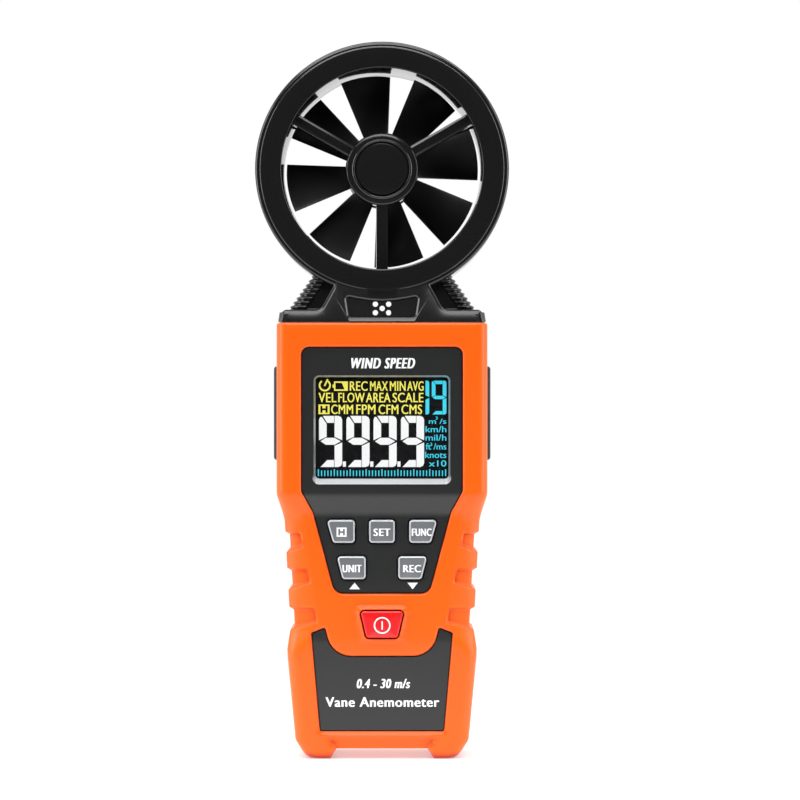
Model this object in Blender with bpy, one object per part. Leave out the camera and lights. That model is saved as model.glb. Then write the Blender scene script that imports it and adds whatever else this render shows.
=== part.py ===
"""Hand-held vane anemometer: a ducted eight-bladed vane on a neck over a hand-held case.

The frame is in metres, +Z up, with the display facing -Y and the origin on the floor, under the middle of the
object's box. Every dimension below is in millimetres, and node() turns a finished shape into metres.

The case is two black shells, each covered by a soft orange bumper. Front and rear pieces meet on the plane y = 0.
The head is two more shells, and the vane turns between them on a steel shaft along Y.
"""

import math

import bmesh
import bpy
from mathutils import Matrix, Vector

# ---------------------------------------------------------------- driving dimensions, in millimetres
GAP = 0.3  # between pieces that touch
SEAM = 0.15  # each half stops this far from the plane y = 0
PAST = 1.0  # how far a cutter runs past the wall that it cuts
FAR = 40.0  # past everything

# The case's outer surface: height, half width, depth to the front, depth to the rear, and the width and depth
# of the rounded front corner. It is straight between these stations.
CASE = (
    (0.0, 19.4, 12.8, 14.2, 2.8, 2.6),
    (4.6, 22.3, 13.3, 15.0, 3.2, 3.0),
    (27.5, 24.4, 15.0, 15.0, 3.6, 3.0),
    (30.2, 23.7, 15.2, 15.0, 5.5, 3.2),
    (33.2, 23.4, 15.2, 15.0, 7.8, 3.5),
    (61.0, 25.0, 15.2, 15.0, 5.6, 3.5),
    (62.7, 25.4, 15.2, 15.1, 5.0, 3.5),
    (67.7, 27.0, 17.0, 17.0, 3.0, 3.0),
    (111.7, 27.0, 17.0, 17.0, 3.0, 3.0),
)
CASE_HALF, CASE_TOP = CASE[-1][1], CASE[-1][0]
REAR_CORNER = 3.5
BUMPER = 1.8  # the soft bumper's thickness
SHELL_INSET = BUMPER + GAP
WALL = 1.8
PANEL_INSET = 0.6  # the black panels lie this far under the bumper's face

# Grip grooves in the bumper's sides: lower edge, upper edge, and how far in they start
GROOVES = ((34.4, 38.2, 17.2), (43.8, 47.9, 19.0), (53.1, 57.3, 20.9))
GROOVE_DEPTH = 0.95
FOOT_NOTCH = (12.6, 2.5)  # half width and height of the gap between the feet

# Windows in the bumper's face, as corners (x, z, radius)
UPPER_PANEL = ((20.65, 105.5, 2.0), (20.65, 69.8, 1.0), (18.4, 63.9, 1.0), (12.55, 43.9, 2.8), (11.3, 42.4, 1.0))
LOWER_PANEL = ((13.2, 26.4, 4.5), (14.9, 33.4, 0.5), (18.1, 31.6, 0.5), (15.9, 7.0, 0.5))
DISPLAY = (17.0, 71.9, 97.8)  # half width, bottom and top of the opening over the display
BEZEL = (1.1, 1.5, 1.2)  # how much wider the opening is at the face: sides, bottom and top
LENS_MARGIN = 2.0

# The side grips
GRIP_Z = (76.4, 100.7)
GRIP_HALF_DEPTH = 5.5
GRIP_PROUD = 1.0

# Keys: corners (x, z) of the cap, clockwise from the top left. The right-hand ones mirror the left-hand ones.
HOLD_KEY = ((-14.2, 61.3), (-6.95, 61.3), (-6.95, 55.4), (-12.5, 55.4))
SET_KEY = ((-3.3, 61.3), (3.3, 61.3), (3.3, 55.4), (-3.3, 55.4))
UNIT_KEY = ((-11.6, 52.0), (-4.15, 52.0), (-4.15, 46.1), (-10.1, 46.1))
POWER_KEY = ((-5.6, 38.0), (5.6, 38.0), (4.0, 31.1), (-4.0, 31.1))
KEY_CORNER = 0.9
KEY_CLEARANCE = 0.25
KEY_FLANGE = 0.7
PLUNGER_R = 1.5
PLUNGER_END = -9.4
KEY_TRAVEL = 0.8
KEY_FACE = -15.9
POWER_FACE = -16.3
SURROUND_PROUD = 0.4

# Depths of the layers behind the display, front to rear
LENS_Y = (-14.9, -13.9)
LCD_Y = (-13.6, -11.8)
LIGHT_Y = (-11.5, -8.9)
MAT_Y = (-9.2, -8.7)
BOARD_Y = (-8.4, -7.2)
BOARD = (17.0, 29.5, 107.0)

# The head
AXIS_Z = 151.3
RING_R = 32.6
DUCT_R = 26.0
RING_HALF = 14.0
RING_WALL = 1.8
RING_STEPS = 48
RING_EDGE = 1.3
HUB_R = 9.4
HUB_STEPS = 24
HUB_FACE = 11.2
SPOKE_HALF = 1.45
SPOKE_Y = (10.2, 5.8)
SPOKE_ANGLES = (30, 150, 270)
NECK_BOTTOM = CASE_TOP + GAP
BEAD_PLACE = (3.4, -6.3, 0)  # the temperature bead, beside the vent's holes
COLLAR = (18.5, 9.0)  # half width and half depth of the head's stub where it passes the case's top wall
FLANGE = (20.5, 10.5, 107.4, 109.0)  # half width, half depth, bottom and top of the flange under that wall

# The vane
BLADES = 8
BLADE_REST = 10.3  # angle of the first blade's middle, in degrees
TIP_R = 24.9
ROTOR_HUB_R = 8.6
ROTOR_HALF = 5.0
BLADE_ROOT = 0.5  # how far a blade's root reaches into the hub
BLADE_HALF_LENGTH = 4.15  # along the axis
BLADE_THICK = 0.9
BLADE_HALF_ANGLE = (21.0, 15.1)  # degrees, at the hub and at the tip
SHAFT_R = 0.75
SHAFT_HALF = 8.6
SHAFT_STEPS = 24

# The cells and their door
CELL_R = 5.25
CELL_PITCH = 11.2
CELL_Y = 6.9
CELL_BODY = 43.5
BAY_X = 17.0
BAY_Z = (9.5, 60.3)
BAY_FLOOR = (0.2, 1.4)
DOOR_Y = (13.2, 14.7)
DOOR_Z = (9.0, 62.6)
DOOR_X = 18.8
DOOR_HINGE = (14.6, 9.2)  # y and z of the line that the door tips about
DOOR_TAB_X = (4.0, 7.0)

CASE_SCREWS = ((-20.3, 104.6), (20.3, 104.6), (-19.2, 65.6), (19.2, 65.6), (-5.6, 20.0), (5.6, 20.0))
HEAD_SCREWS = ((-13.2, 117.0), (13.2, 117.0))
SCREW_R = 1.0
SCREW_HEAD_R = 1.9
BOSS_R = 2.4


# ---------------------------------------------------------------- shapes, as bmeshes in millimetres
def skin(rings):
    """A closed solid through rings of points that all have the same count, with a flat cap at each end."""
    shape = bmesh.new()
    made = [[shape.verts.new(point) for point in ring] for ring in rings]
    for low, high in zip(made, made[1:]):
        for i in range(len(low)):
            j = (i + 1) % len(low)
            shape.faces.new((low[i], low[j], high[j], high[i]))
    shape.faces.new(made[0][::-1])
    shape.faces.new(made[-1])
    bmesh.ops.recalc_face_normals(shape, faces=shape.faces)
    return shape


def prism(outline, y0, y1):
    """An outline of (x, z) points, extruded along Y."""
    return skin([[(x, y, z) for x, z in outline] for y in (y0, y1)])


def block(xs, ys, zs):
    x0, x1 = sorted(xs)
    z0, z1 = sorted(zs)
    return prism([(x0, z0), (x1, z0), (x1, z1), (x0, z1)], *sorted(ys))


def turned(profile, steps, closed=True):
    """A profile of (radius, y) points turned round the Y axis. A profile that isn't closed starts and ends on it."""
    shape = bmesh.new()
    points = [shape.verts.new((radius, y, 0)) for radius, y in profile]
    pairs = list(zip(points, points[1:])) + ([(points[-1], points[0])] if closed else [])
    edges = [shape.edges.new(pair) for pair in pairs]
    bmesh.ops.spin(
        shape, geom=points + edges, cent=(0, 0, 0), axis=(0, 1, 0), angle=2 * math.pi, steps=steps, use_merge=True
    )
    bmesh.ops.remove_doubles(shape, verts=shape.verts, dist=1e-4)
    bmesh.ops.recalc_face_normals(shape, faces=shape.faces)
    return shape


def rod(radius, y0, y1, steps):
    return turned([(0, y0), (radius, y0), (radius, y1), (0, y1)], steps, closed=False)


def tube(outer, inner, y0, y1, steps):
    return turned([(inner, y0), (outer, y0), (outer, y1), (inner, y1)], steps)


def moved(shape, x=0.0, y=0.0, z=0.0):
    shape.transform(Matrix.Translation((x, y, z)))
    return shape


def spun(shape, angle, axis="Y"):
    shape.transform(Matrix.Rotation(math.radians(angle), 4, axis))
    return shape


def temporary(shape):
    mesh = bpy.data.meshes.new("temporary")
    shape.to_mesh(mesh)
    shape.free()
    made = bpy.data.objects.new("temporary", mesh)
    bpy.context.scene.collection.objects.link(made)
    return made


def boolean(shape, tool, operation):
    """The shape with the tool cut from it, joined to it, or as what the two share."""
    pair = [temporary(shape), temporary(tool)]
    modifier = pair[0].modifiers.new("boolean", "BOOLEAN")
    modifier.operation = operation
    modifier.object = pair[1]
    graph = bpy.context.evaluated_depsgraph_get()
    made = bmesh.new()
    made.from_mesh(pair[0].evaluated_get(graph).to_mesh())
    bmesh.ops.remove_doubles(made, verts=made.verts, dist=1e-3)
    bmesh.ops.dissolve_degenerate(made, edges=made.edges, dist=1e-4)
    for leftover in pair:
        mesh = leftover.data
        bpy.data.objects.remove(leftover)
        bpy.data.meshes.remove(mesh)
    return made


def cut(shape, *tools):
    for tool in tools:
        shape = boolean(shape, tool, "DIFFERENCE")
    return shape


def join(shape, *tools):
    for tool in tools:
        shape = boolean(shape, tool, "UNION")
    return shape


def shared(shape, tool):
    return boolean(shape, tool, "INTERSECT")


# ---------------------------------------------------------------- outlines in the XZ plane
def moved_out(corners, distance):
    """The polygon of (x, z, radius) corners with each side moved out by a distance. Its corners run clockwise."""
    made = []
    count = len(corners)
    for i in range(count):
        before, here, after = (Vector(corners[(i + k) % count][:2]) for k in (-1, 0, 1))
        into, away = (here - before).normalized(), (after - here).normalized()
        normals = [Vector((-d.y, d.x)) for d in (into, away)]
        middle = (normals[0] + normals[1]).normalized()
        place = here + middle * (distance / middle.dot(normals[0]))
        turning = into.x * away.y - into.y * away.x
        radius = corners[i][2] + (distance if turning < 0 else -distance)
        made.append((place.x, place.y, max(radius, 0.0)))
    return made


def rounded(corners, steps=3):
    """The outline's points, with an arc at each (x, z, radius) corner."""
    points = []
    count = len(corners)
    for i, (x, z, radius) in enumerate(corners):
        here = Vector((x, z))
        to_before = (Vector(corners[i - 1][:2]) - here).normalized()
        to_after = (Vector(corners[(i + 1) % count][:2]) - here).normalized()
        if radius < 0.05:
            points.append((x, z))
            continue
        half = to_before.angle(to_after) / 2
        centre = here + (to_before + to_after).normalized() * (radius / math.sin(half))
        reach = radius / math.tan(half)
        start, end = here + to_before * reach - centre, here + to_after * reach - centre
        sweep = start.angle_signed(end)
        for k in range(steps + 1):
            turn = -sweep * k / steps
            points.append(tuple(centre + Matrix.Rotation(turn, 2) @ start))
    return points


def mirrored(right_half):
    """A clockwise polygon from the corners of its right half, given from the top down."""
    return list(right_half) + [(-x, z, radius) for x, z, radius in reversed(right_half)]


def upper_panel():
    return mirrored(UPPER_PANEL)


def lower_panel():
    """The lower panel's right half is given from the tongue outwards, so that its top edge is the tongue's."""
    return mirrored(LOWER_PANEL)


def key_corners(corners):
    return [(x, z, KEY_CORNER) for x, z in corners]


# ---------------------------------------------------------------- the case's surface
def case_at(z):
    """The case's measures at a height, in the order of CASE."""
    for low, high in zip(CASE, CASE[1:]):
        if z <= high[0]:
            share = (z - low[0]) / (high[0] - low[0])
            return [a + (b - a) * share for a, b in zip(low, high)]
    return list(CASE[-1])


def case_section(z, inset, side, seam):
    """The ring of points round one half of the case at a height. side is -1 at the front and 1 at the rear."""
    _, width, front, rear, across, deep = case_at(z)
    if side > 0:
        across, deep = REAR_CORNER, REAR_CORNER
    depth = (front if side < 0 else rear) - inset
    width -= inset
    across, deep = max(across - inset, 0.6), max(deep - inset, 0.6)
    corner = [
        (width - across + across * math.cos(turn) ** 1.2, depth - deep + deep * math.sin(turn) ** 1.2)
        for turn in (0, math.pi / 6, math.pi / 3)
    ] + [(width - across, depth)]
    half = [(width, seam * side)] + [(x, y) for x, y in corner]
    ring = half + [(-x, y) for x, y in reversed(half)]
    ring[-1] = (-width, seam * side)
    return [(x, y * side, z) for x, y in ring]


def case_solid(inset, side, low, high, seam=None):
    """One half of the case as a solid, inset from its outer surface, between two heights.

    Its flat side lies SEAM from the plane y = 0 unless seam, a y, says otherwise.
    """
    seam = SEAM * side if seam is None else seam
    heights = [low] + [station[0] for station in CASE if low < station[0] < min(high, CASE_TOP)] + [high]
    return skin([case_section(z, inset, side, seam) for z in heights])


def groove_cutters(side):
    """Six cutters for one half: each takes GROOVE_DEPTH off the case's side between two heights."""
    made = []
    for low, high, inner in GROOVES:
        for hand in (-1, 1):
            slant = 0.6
            outline = [(inner, low), (inner, high), (FAR, high - slant * 3), (FAR, low - slant * 3)]
            band = prism([(x * hand, z) for x, z in outline], -FAR if side < 0 else -PAST, PAST if side < 0 else FAR)
            made.append(cut(band, case_solid(GROOVE_DEPTH, side, low - 6, high + 6, seam=-2 * PAST * side)))
    return made


# ---------------------------------------------------------------- nodes
def material(name, colour, roughness, metallic=0.0):
    made = bpy.data.materials.get(name)
    if made is None:
        made = bpy.data.materials.new(name)
        made.use_nodes = True
        shader = made.node_tree.nodes["Principled BSDF"]
        shader.inputs["Base Color"].default_value = (*colour, 1.0)
        shader.inputs["Roughness"].default_value = roughness
        shader.inputs["Metallic"].default_value = metallic
        made.diffuse_color = (*colour, 1.0)
    return made


def black():
    return material("black_plastic", (0.022, 0.022, 0.024), 0.42)


def orange():
    return material("orange_rubber", (0.93, 0.15, 0.018), 0.5)


def grey():
    return material("key_grey", (0.2, 0.21, 0.22), 0.38, 0.5)


def red():
    return material("key_red", (0.83, 0.03, 0.02), 0.35)


def steel():
    return material("steel", (0.6, 0.6, 0.62), 0.3, 1.0)


def place(made, name, finish, origin):
    made.name = name
    made.data.name = name
    made.data.materials.append(finish)
    made.location = Vector(origin) * 0.001
    return made


def node(name, shape, finish, origin=(0, 0, 0)):
    """A finished shape as an object with its origin at a point of the frame."""
    shape.transform(Matrix.Scale(0.001, 4) @ Matrix.Translation(-Vector(origin)))
    bmesh.ops.remove_doubles(shape, verts=shape.verts, dist=1e-7)
    made = place(temporary(shape), name, finish, origin)
    made.data.shade_smooth()
    made.data.set_sharp_from_angle(angle=math.radians(30))
    return made


def wire(name, points, radius, finish, sides=1):
    """A round wire through points, as a curve object with filled caps. sides is its bevel resolution."""
    curve = bpy.data.curves.new(name, "CURVE")
    curve.dimensions = "3D"
    curve.bevel_depth = radius * 0.001
    curve.bevel_resolution = sides
    curve.use_fill_caps = True
    spline = curve.splines.new("POLY")
    spline.points.add(len(points) - 1)
    for knot, point in zip(spline.points, points):
        knot.co = (*(Vector(point) * 0.001), 1.0)
    made = bpy.data.objects.new(name, curve)
    bpy.context.scene.collection.objects.link(made)
    return place(made, name, finish, (0, 0, 0))


# ---------------------------------------------------------------- the bumper and the case shells
def pad_window():
    low, high = GRIP_Z
    depth = GRIP_HALF_DEPTH + GAP
    return [
        block((hand * 23.5, hand * FAR), (-depth, depth), (low - GAP, high + GAP)) for hand in (-1, 1)
    ]


def bumper(side):
    """One half of the orange bumper, before its own windows."""
    shape = case_solid(0, side, 0, CASE_TOP)
    shape = cut(shape, case_solid(BUMPER, side, CASE[1][0], CASE_TOP + PAST, seam=-PAST * side))
    half, height = FOOT_NOTCH
    shape = cut(shape, block((-half, half), (-FAR, FAR), (-PAST, height)), *pad_window())
    return cut(shape, *groove_cutters(side))


def bumper_front():
    shape = bumper(-1)
    surround = moved_out(key_corners(POWER_KEY), 1.7)
    raised = skin(
        [
            [(x, y, z) for x, z in rounded(moved_out(surround, grow), 3)]
            for grow, y in ((0, -14.6), (0, -15.2), (-0.6, -15.2 - SURROUND_PROUD))
        ]
    )
    shape = join(shape, raised)
    key_hole = prism(rounded(moved_out(key_corners(POWER_KEY), KEY_CLEARANCE), 3), -FAR, -PAST)
    for outline in (upper_panel(), lower_panel()):
        shape = cut(shape, prism(rounded(outline), -FAR, -2.0))
    node("bumper_front", cut(shape, key_hole), orange())


def door_outline(grow):
    (low, high), half = DOOR_Z, DOOR_X
    corners = [(half, high, 2.0), (half, low, 0.6), (-half, low, 0.6), (-half, high, 2.0)]
    return rounded(moved_out(corners, grow), 3)


def bumper_rear():
    shape = cut(bumper(1), prism(door_outline(GAP), 5, FAR))
    for x, z in CASE_SCREWS[:4]:
        shape = cut(shape, moved(rod(SCREW_HEAD_R + 0.5, 10, FAR, 12), x, 0, z))
    node("bumper_rear", shape, orange())


def body_front():
    """The front case shell: the display surround, the key field and the lower panel show through the bumper."""
    bottom, top = CASE[1][0] + GAP, CASE_TOP - GAP
    shape = case_solid(SHELL_INSET, -1, bottom, top)
    for outline in (upper_panel(), lower_panel()):
        face = case_solid(PANEL_INSET, -1, bottom, top)
        shape = join(shape, shared(prism(rounded(moved_out(outline, -GAP)), -FAR, -9), face))
    shape = cut(shape, case_solid(SHELL_INSET + WALL, -1, bottom + WALL, top - WALL, seam=PAST))
    for x, z in CASE_SCREWS:
        long_boss = moved(rod(BOSS_R, -13.5 if abs(x) > 10 else -11.5, -SEAM, 12), x, 0, z)
        shape = join(shape, long_boss)
        shape = cut(shape, moved(rod(SCREW_R + GAP, -9, PAST, 12), x, 0, z))
    half, low, high = DISPLAY
    margin = LENS_MARGIN + GAP
    shape = cut(shape, block((-half - margin, half + margin), (-15.2, -9), (low - margin, high + margin)))
    sides, below, above = BEZEL
    opening = [
        [(-half - sides * k, y, low - below * k), (half + sides * k, y, low - below * k)]
        + [(half + sides * k, y, high + above * k), (-half - sides * k, y, high + above * k)]
        for k, y in ((0, -12), (0, -15.4), (1, -16.4), (2, -17.4))
    ]
    shape = cut(shape, skin(opening))
    shape = cut(shape, block((-15.4, 15.4), (-12.8, -9), (44.9, 62.5)))
    for corners, _ in keys().values():
        hole = rounded(moved_out(key_corners(corners), KEY_CLEARANCE), 3)
        shape = cut(shape, prism(hole, -FAR, -9))
    shape = cut(shape, collar_window())
    node("body_front", shape, black())


def collar_window():
    half, deep = COLLAR
    return block((-half - GAP, half + GAP), (-deep - GAP, deep + GAP), (CASE_TOP - 4, CASE_TOP + PAST))


def body_rear():
    """The rear case shell, with the bay for the cells."""
    bottom, top = CASE[1][0] + GAP, CASE_TOP - GAP
    shape = case_solid(SHELL_INSET, 1, bottom, top)
    shape = cut(shape, case_solid(SHELL_INSET + WALL, 1, bottom + WALL, top - WALL, seam=-PAST))
    low, high = BAY_Z
    rear = 15.0 - SHELL_INSET - 0.4
    shape = join(shape, block((-BAY_X - 1.2, BAY_X + 1.2), (BAY_FLOOR[0], rear), (low - 3.2, high + 2.2)))
    for x, z in CASE_SCREWS[:4]:
        shape = join(shape, moved(rod(BOSS_R, SEAM, 13.6, 12), x, 0, z))
    shape = cut(shape, block((-BAY_X, BAY_X), (BAY_FLOOR[1], FAR), (low, high)))
    for hand in (-1, 1):
        tab = [hand * x for x in (DOOR_TAB_X[0] - 0.5, DOOR_TAB_X[1] + 0.5)]
        shape = cut(shape, block(tab, (11.4, FAR), (low - 2.6, low + 0.4)))
    shape = cut(shape, block((-4.6, 4.6), (11.3, FAR), (high - 0.2, high + 1.8)))
    for x, z in CASE_SCREWS[:4]:
        shape = cut(shape, moved(rod(SCREW_R + GAP, -PAST, 8, 12), x, 0, z))
        shape = cut(shape, moved(rod(SCREW_HEAD_R + GAP, 7, FAR, 12), x, 0, z))
    for x, z in CASE_SCREWS[4:]:
        shape = cut(shape, moved(rod(SCREW_R + GAP, -PAST, 5, 12), x, 0, z))
    node("body_rear", cut(shape, collar_window()), black())


def side_grips():
    low, high = GRIP_Z
    inner, flush, outer = CASE_HALF - BUMPER, CASE_HALF, CASE_HALF + GRIP_PROUD
    slope = GRIP_PROUD + 0.1
    for hand, name in ((-1, "side_grip_left"), (1, "side_grip_right")):
        outline = [(inner, low), (inner, high), (flush, high), (outer, high - slope), (outer, low + slope), (flush, low)]
        shape = prism([(x * hand, z) for x, z in outline], -GRIP_HALF_DEPTH, GRIP_HALF_DEPTH)
        for end in (-1, 1):
            beyond, under = GRIP_HALF_DEPTH - 2 * GRIP_PROUD, GRIP_HALF_DEPTH + 0.2
            wedge = [(outer + PAST, beyond), (outer + PAST, FAR / 4), (flush - 0.2, FAR / 4), (flush - 0.2, under)]
            cutter = skin([[(x * hand, y * end, z) for x, y in wedge] for z in (low - PAST, high + PAST)])
            shape = cut(shape, cutter)
        node(name, shape, material("grip_rubber", (0.03, 0.03, 0.032), 0.65))


# ---------------------------------------------------------------- the head
def ring_half(side):
    """Half of the duct ring as a channel that is open at the seam."""
    edge, wall = RING_EDGE, RING_WALL
    profile = [
        (DUCT_R, -PAST),
        (DUCT_R, RING_HALF - 0.5),
        (DUCT_R + 0.5, RING_HALF),
        (RING_R - edge, RING_HALF),
        (RING_R - 0.35 * edge, RING_HALF - 0.35 * edge),
        (RING_R, RING_HALF - edge),
        (RING_R, -PAST),
    ]
    channel = [(RING_R - wall, RING_HALF - wall), (DUCT_R + wall, RING_HALF - wall)]
    solid = turned([(r, y * side) for r, y in profile], RING_STEPS)
    inner = [(channel[1][0], -3 * PAST), channel[1], channel[0], (channel[0][0], -3 * PAST)]
    hollow = spun(turned([(r, y * side) for r, y in inner], RING_STEPS), 180 / RING_STEPS)
    return moved(solid, z=AXIS_Z), moved(hollow, z=AXIS_Z)


def neck_front_y(z, inset=0.0):
    """The neck's face leans back from the case towards the ring."""
    return -(15.6 - 0.2 * (z - NECK_BOTTOM) - inset)


def neck_face(outline, inset, back):
    return skin([[(x, back, z) for x, z in outline], [(x, neck_front_y(z, inset), z) for x, z in outline]])


def neck_plate():
    corners = [(11.3, 126.0, 0), (12.6, 121.1, 0), (15.8, 115.1, 2.6), (24.9, 114.9, 0.8), (26.0, NECK_BOTTOM, 0)]
    return rounded(mirrored(corners), 4)


def vent_recess():
    bottom, top, dip = 112.95, 118.7, 1.3
    arc = [(9.4 - 18.8 * k / 6, top - dip * math.sin(math.pi * k / 6)) for k in range(7)]
    return arc[::-1] + [(8.9, bottom + 1.0), (8.0, bottom), (-8.0, bottom), (-8.9, bottom + 1.0)]


def vent_holes():
    return [(-1.7, 116.5), (1.7, 116.5), (0.05, 115.4), (-1.7, 114.3), (1.7, 114.3)]


def neck_fins(side):
    """The ribbed corners between the neck and the ring, as two solids with grooves cut all round."""
    made = []
    for hand in (-1, 1):
        outline = [(11, NECK_BOTTOM + 0.5), (25.3, NECK_BOTTOM + 0.5), (23.2, 116.3), (17.4, 123.8), (11, 126)]
        fin = prism([(x * hand, z) for x, z in outline], *sorted((-1.4 * side, 9.5 * side)))
        for k in range(5):
            z = 116.6 + 1.5 * k
            outer = 23.2 - (z - 116.3) * 0.78
            slot = [(outer - 1.3, z), (outer + 4, z), (outer + 4, z + 0.6), (outer - 1.3, z + 0.6)]
            fin = cut(fin, prism([(x * hand, up) for x, up in slot], -FAR, FAR))
        made.append(fin)
    return made


def hub_boss(side):
    """The cup at the ring's middle that holds a bearing. The front one has a seat for its round cap."""
    rim = 0.9
    outer = [
        (HUB_R, 5.8), (HUB_R, HUB_FACE - 1.0), (HUB_R - 1.0, HUB_FACE - 0.2), (7.9, HUB_FACE),
        (7.1, HUB_FACE), (7.1, HUB_FACE - rim), (0, HUB_FACE - rim),
    ]
    inner = [(0, 9.0), (2.3, 9.0), (2.3, 6.2), (3.6, 6.2), (3.6, 9.0), (7.9, 9.0), (7.9, 5.8)]
    return moved(turned([(r, y * side) for r, y in inner + outer], HUB_STEPS, closed=False), z=AXIS_Z)


def spokes(side):
    made = []
    for angle in SPOKE_ANGLES:
        half = SPOKE_HALF
        front, back = SPOKE_Y
        section = [(-half, back), (-half, front - 0.5), (-half + 0.5, front), (half - 0.5, front), (half, front - 0.5)]
        section.append((half, back))
        bar = skin([[(along, y * side, across) for across, y in section] for along in (HUB_R - 0.8, DUCT_R + 0.9)])
        made.append(moved(spun(bar, -angle), z=AXIS_Z))
    return made


def head_half(side):
    solid, hollow = ring_half(side)
    plate = neck_plate()
    neck = neck_face(plate, 0.0, 1.2)
    if side > 0:
        neck.transform(Matrix.Scale(-1, 4, (0, 1, 0)))
        bmesh.ops.recalc_face_normals(neck, faces=neck.faces)
    duct = moved(rod(DUCT_R + 0.4, -FAR, FAR, RING_STEPS), z=AXIS_Z)
    half, deep = COLLAR
    collar = block((-half, half), (-1.6 * side, deep * side), (FLANGE[2] + 0.5, NECK_BOTTOM + 1.5))
    flange = block((-FLANGE[0], FLANGE[0]), (-1.8 * side, FLANGE[1] * side), FLANGE[2:])
    neck = cut(join(neck, collar, flange, *neck_fins(side)), duct)
    shape = cut(join(solid, neck), hollow)
    passage = block((-9.5, 9.5), (-4 * side, 12.2 * side), (NECK_BOTTOM + 0.6, 117.9))
    throat = block((-5.5, 5.5), (-5 * side, 9.0 * side), (117, AXIS_Z - 28.5))
    hollow_collar = block((-half + 1.8, half - 1.8), (-6 * side, (deep - 1.8) * side), (FLANGE[2] - PAST, 113.4))
    beyond = block((-FAR, FAR), (SEAM * side, -FAR * side), (90, 200))
    shape = cut(shape, passage, throat, hollow_collar, beyond)
    return join(shape, hub_boss(side), *spokes(side))


def head_front():
    shape = head_half(-1)
    shape = cut(shape, neck_face(vent_recess(), 0.6, -FAR))
    for x, z in vent_holes():
        shape = cut(shape, moved(spun(rod(0.72, -FAR, -PAST, 8), 22.5), x, 0, z))
    for x, z in HEAD_SCREWS:
        shape = cut(shape, moved(rod(SCREW_R + GAP, -9, PAST, 12), x, 0, z))
    node("head_front", shape, black())


def head_rear():
    shape = head_half(1)
    slot = rounded([(4.5, 118.3, 1.2), (4.5, 113.9, 1.2), (-4.5, 113.9, 1.2), (-4.5, 118.3, 1.2)], 3)
    shape = cut(shape, prism(slot, PAST, FAR))
    for x, z in HEAD_SCREWS:
        shape = cut(shape, moved(rod(SCREW_R + GAP, -PAST, 10, 12), x, 0, z))
        shape = cut(shape, moved(rod(SCREW_HEAD_R + GAP, 8, FAR, 12), x, 0, z))
    groove = block((-0.8, 0.8), (5, 7.6), (AXIS_Z - 30, AXIS_Z - 7))
    shape = cut(shape, groove)
    node("head_rear", shape, black())


def hub_cap():
    profile = [(0, -HUB_FACE + 0.1), (6.5, -HUB_FACE + 0.1), (6.8, -HUB_FACE + 0.4), (6.8, -10.6), (0, -10.6)]
    node("hub_cap", moved(turned(profile, HUB_STEPS, closed=False), z=AXIS_Z), black())


# ---------------------------------------------------------------- the vane
def blade():
    """One blade, a twisted plate whose middle points along +X, cut to the duct's curve at its tip."""
    across_points = 5
    rings = []
    for radius, half_angle in zip((ROTOR_HUB_R - BLADE_ROOT, TIP_R), BLADE_HALF_ANGLE):
        ring = []
        for face in (-1, 1):
            sweep = range(across_points) if face < 0 else range(across_points - 1, -1, -1)
            for k in sweep:
                part = 2 * k / (across_points - 1) - 1
                turn = math.radians(half_angle * part)
                y = face * BLADE_THICK / 2 - BLADE_HALF_LENGTH * part
                ring.append((radius * math.cos(turn), y, radius * math.sin(turn)))
        rings.append(ring)
    shape = skin(rings)
    bmesh.ops.triangulate(shape, faces=shape.faces)
    return shape


def rotor():
    magnet_seat = (2.7, 5.3, 3.3)
    hub_profile = [
        (1.05, -ROTOR_HALF), (7.4, -ROTOR_HALF), (ROTOR_HUB_R, -3.8), (ROTOR_HUB_R, ROTOR_HALF),
        (magnet_seat[1], ROTOR_HALF), (magnet_seat[1], magnet_seat[2]), (magnet_seat[0], magnet_seat[2]),
        (magnet_seat[0], ROTOR_HALF), (1.05, ROTOR_HALF),
    ]
    shape = turned(hub_profile, SHAFT_STEPS)
    for k in range(BLADES):
        shape = join(shape, spun(blade(), -(BLADE_REST + 360 / BLADES * k)))
    axis = (0, 0, AXIS_Z)
    node("rotor", moved(shape, z=AXIS_Z), material("blade_plastic", (0.012, 0.012, 0.013), 0.3), axis)
    shaft = moved(rod(SHAFT_R, -SHAFT_HALF, SHAFT_HALF, SHAFT_STEPS), z=AXIS_Z)
    node("rotor_shaft", shaft, steel(), axis)
    magnet = moved(tube(5.0, 3.0, 3.6, ROTOR_HALF, SHAFT_STEPS), z=AXIS_Z)
    node("rotor_magnet", magnet, material("magnet", (0.25, 0.25, 0.26), 0.4, 0.9), axis)


def bearings():
    for side, name in ((-1, "front_bearing"), (1, "rear_bearing")):
        ring = moved(tube(2.0, SHAFT_R + 0.1, 6.5 * side, 8.7 * side, SHAFT_STEPS), z=AXIS_Z)
        node(name, ring, steel())


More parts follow.
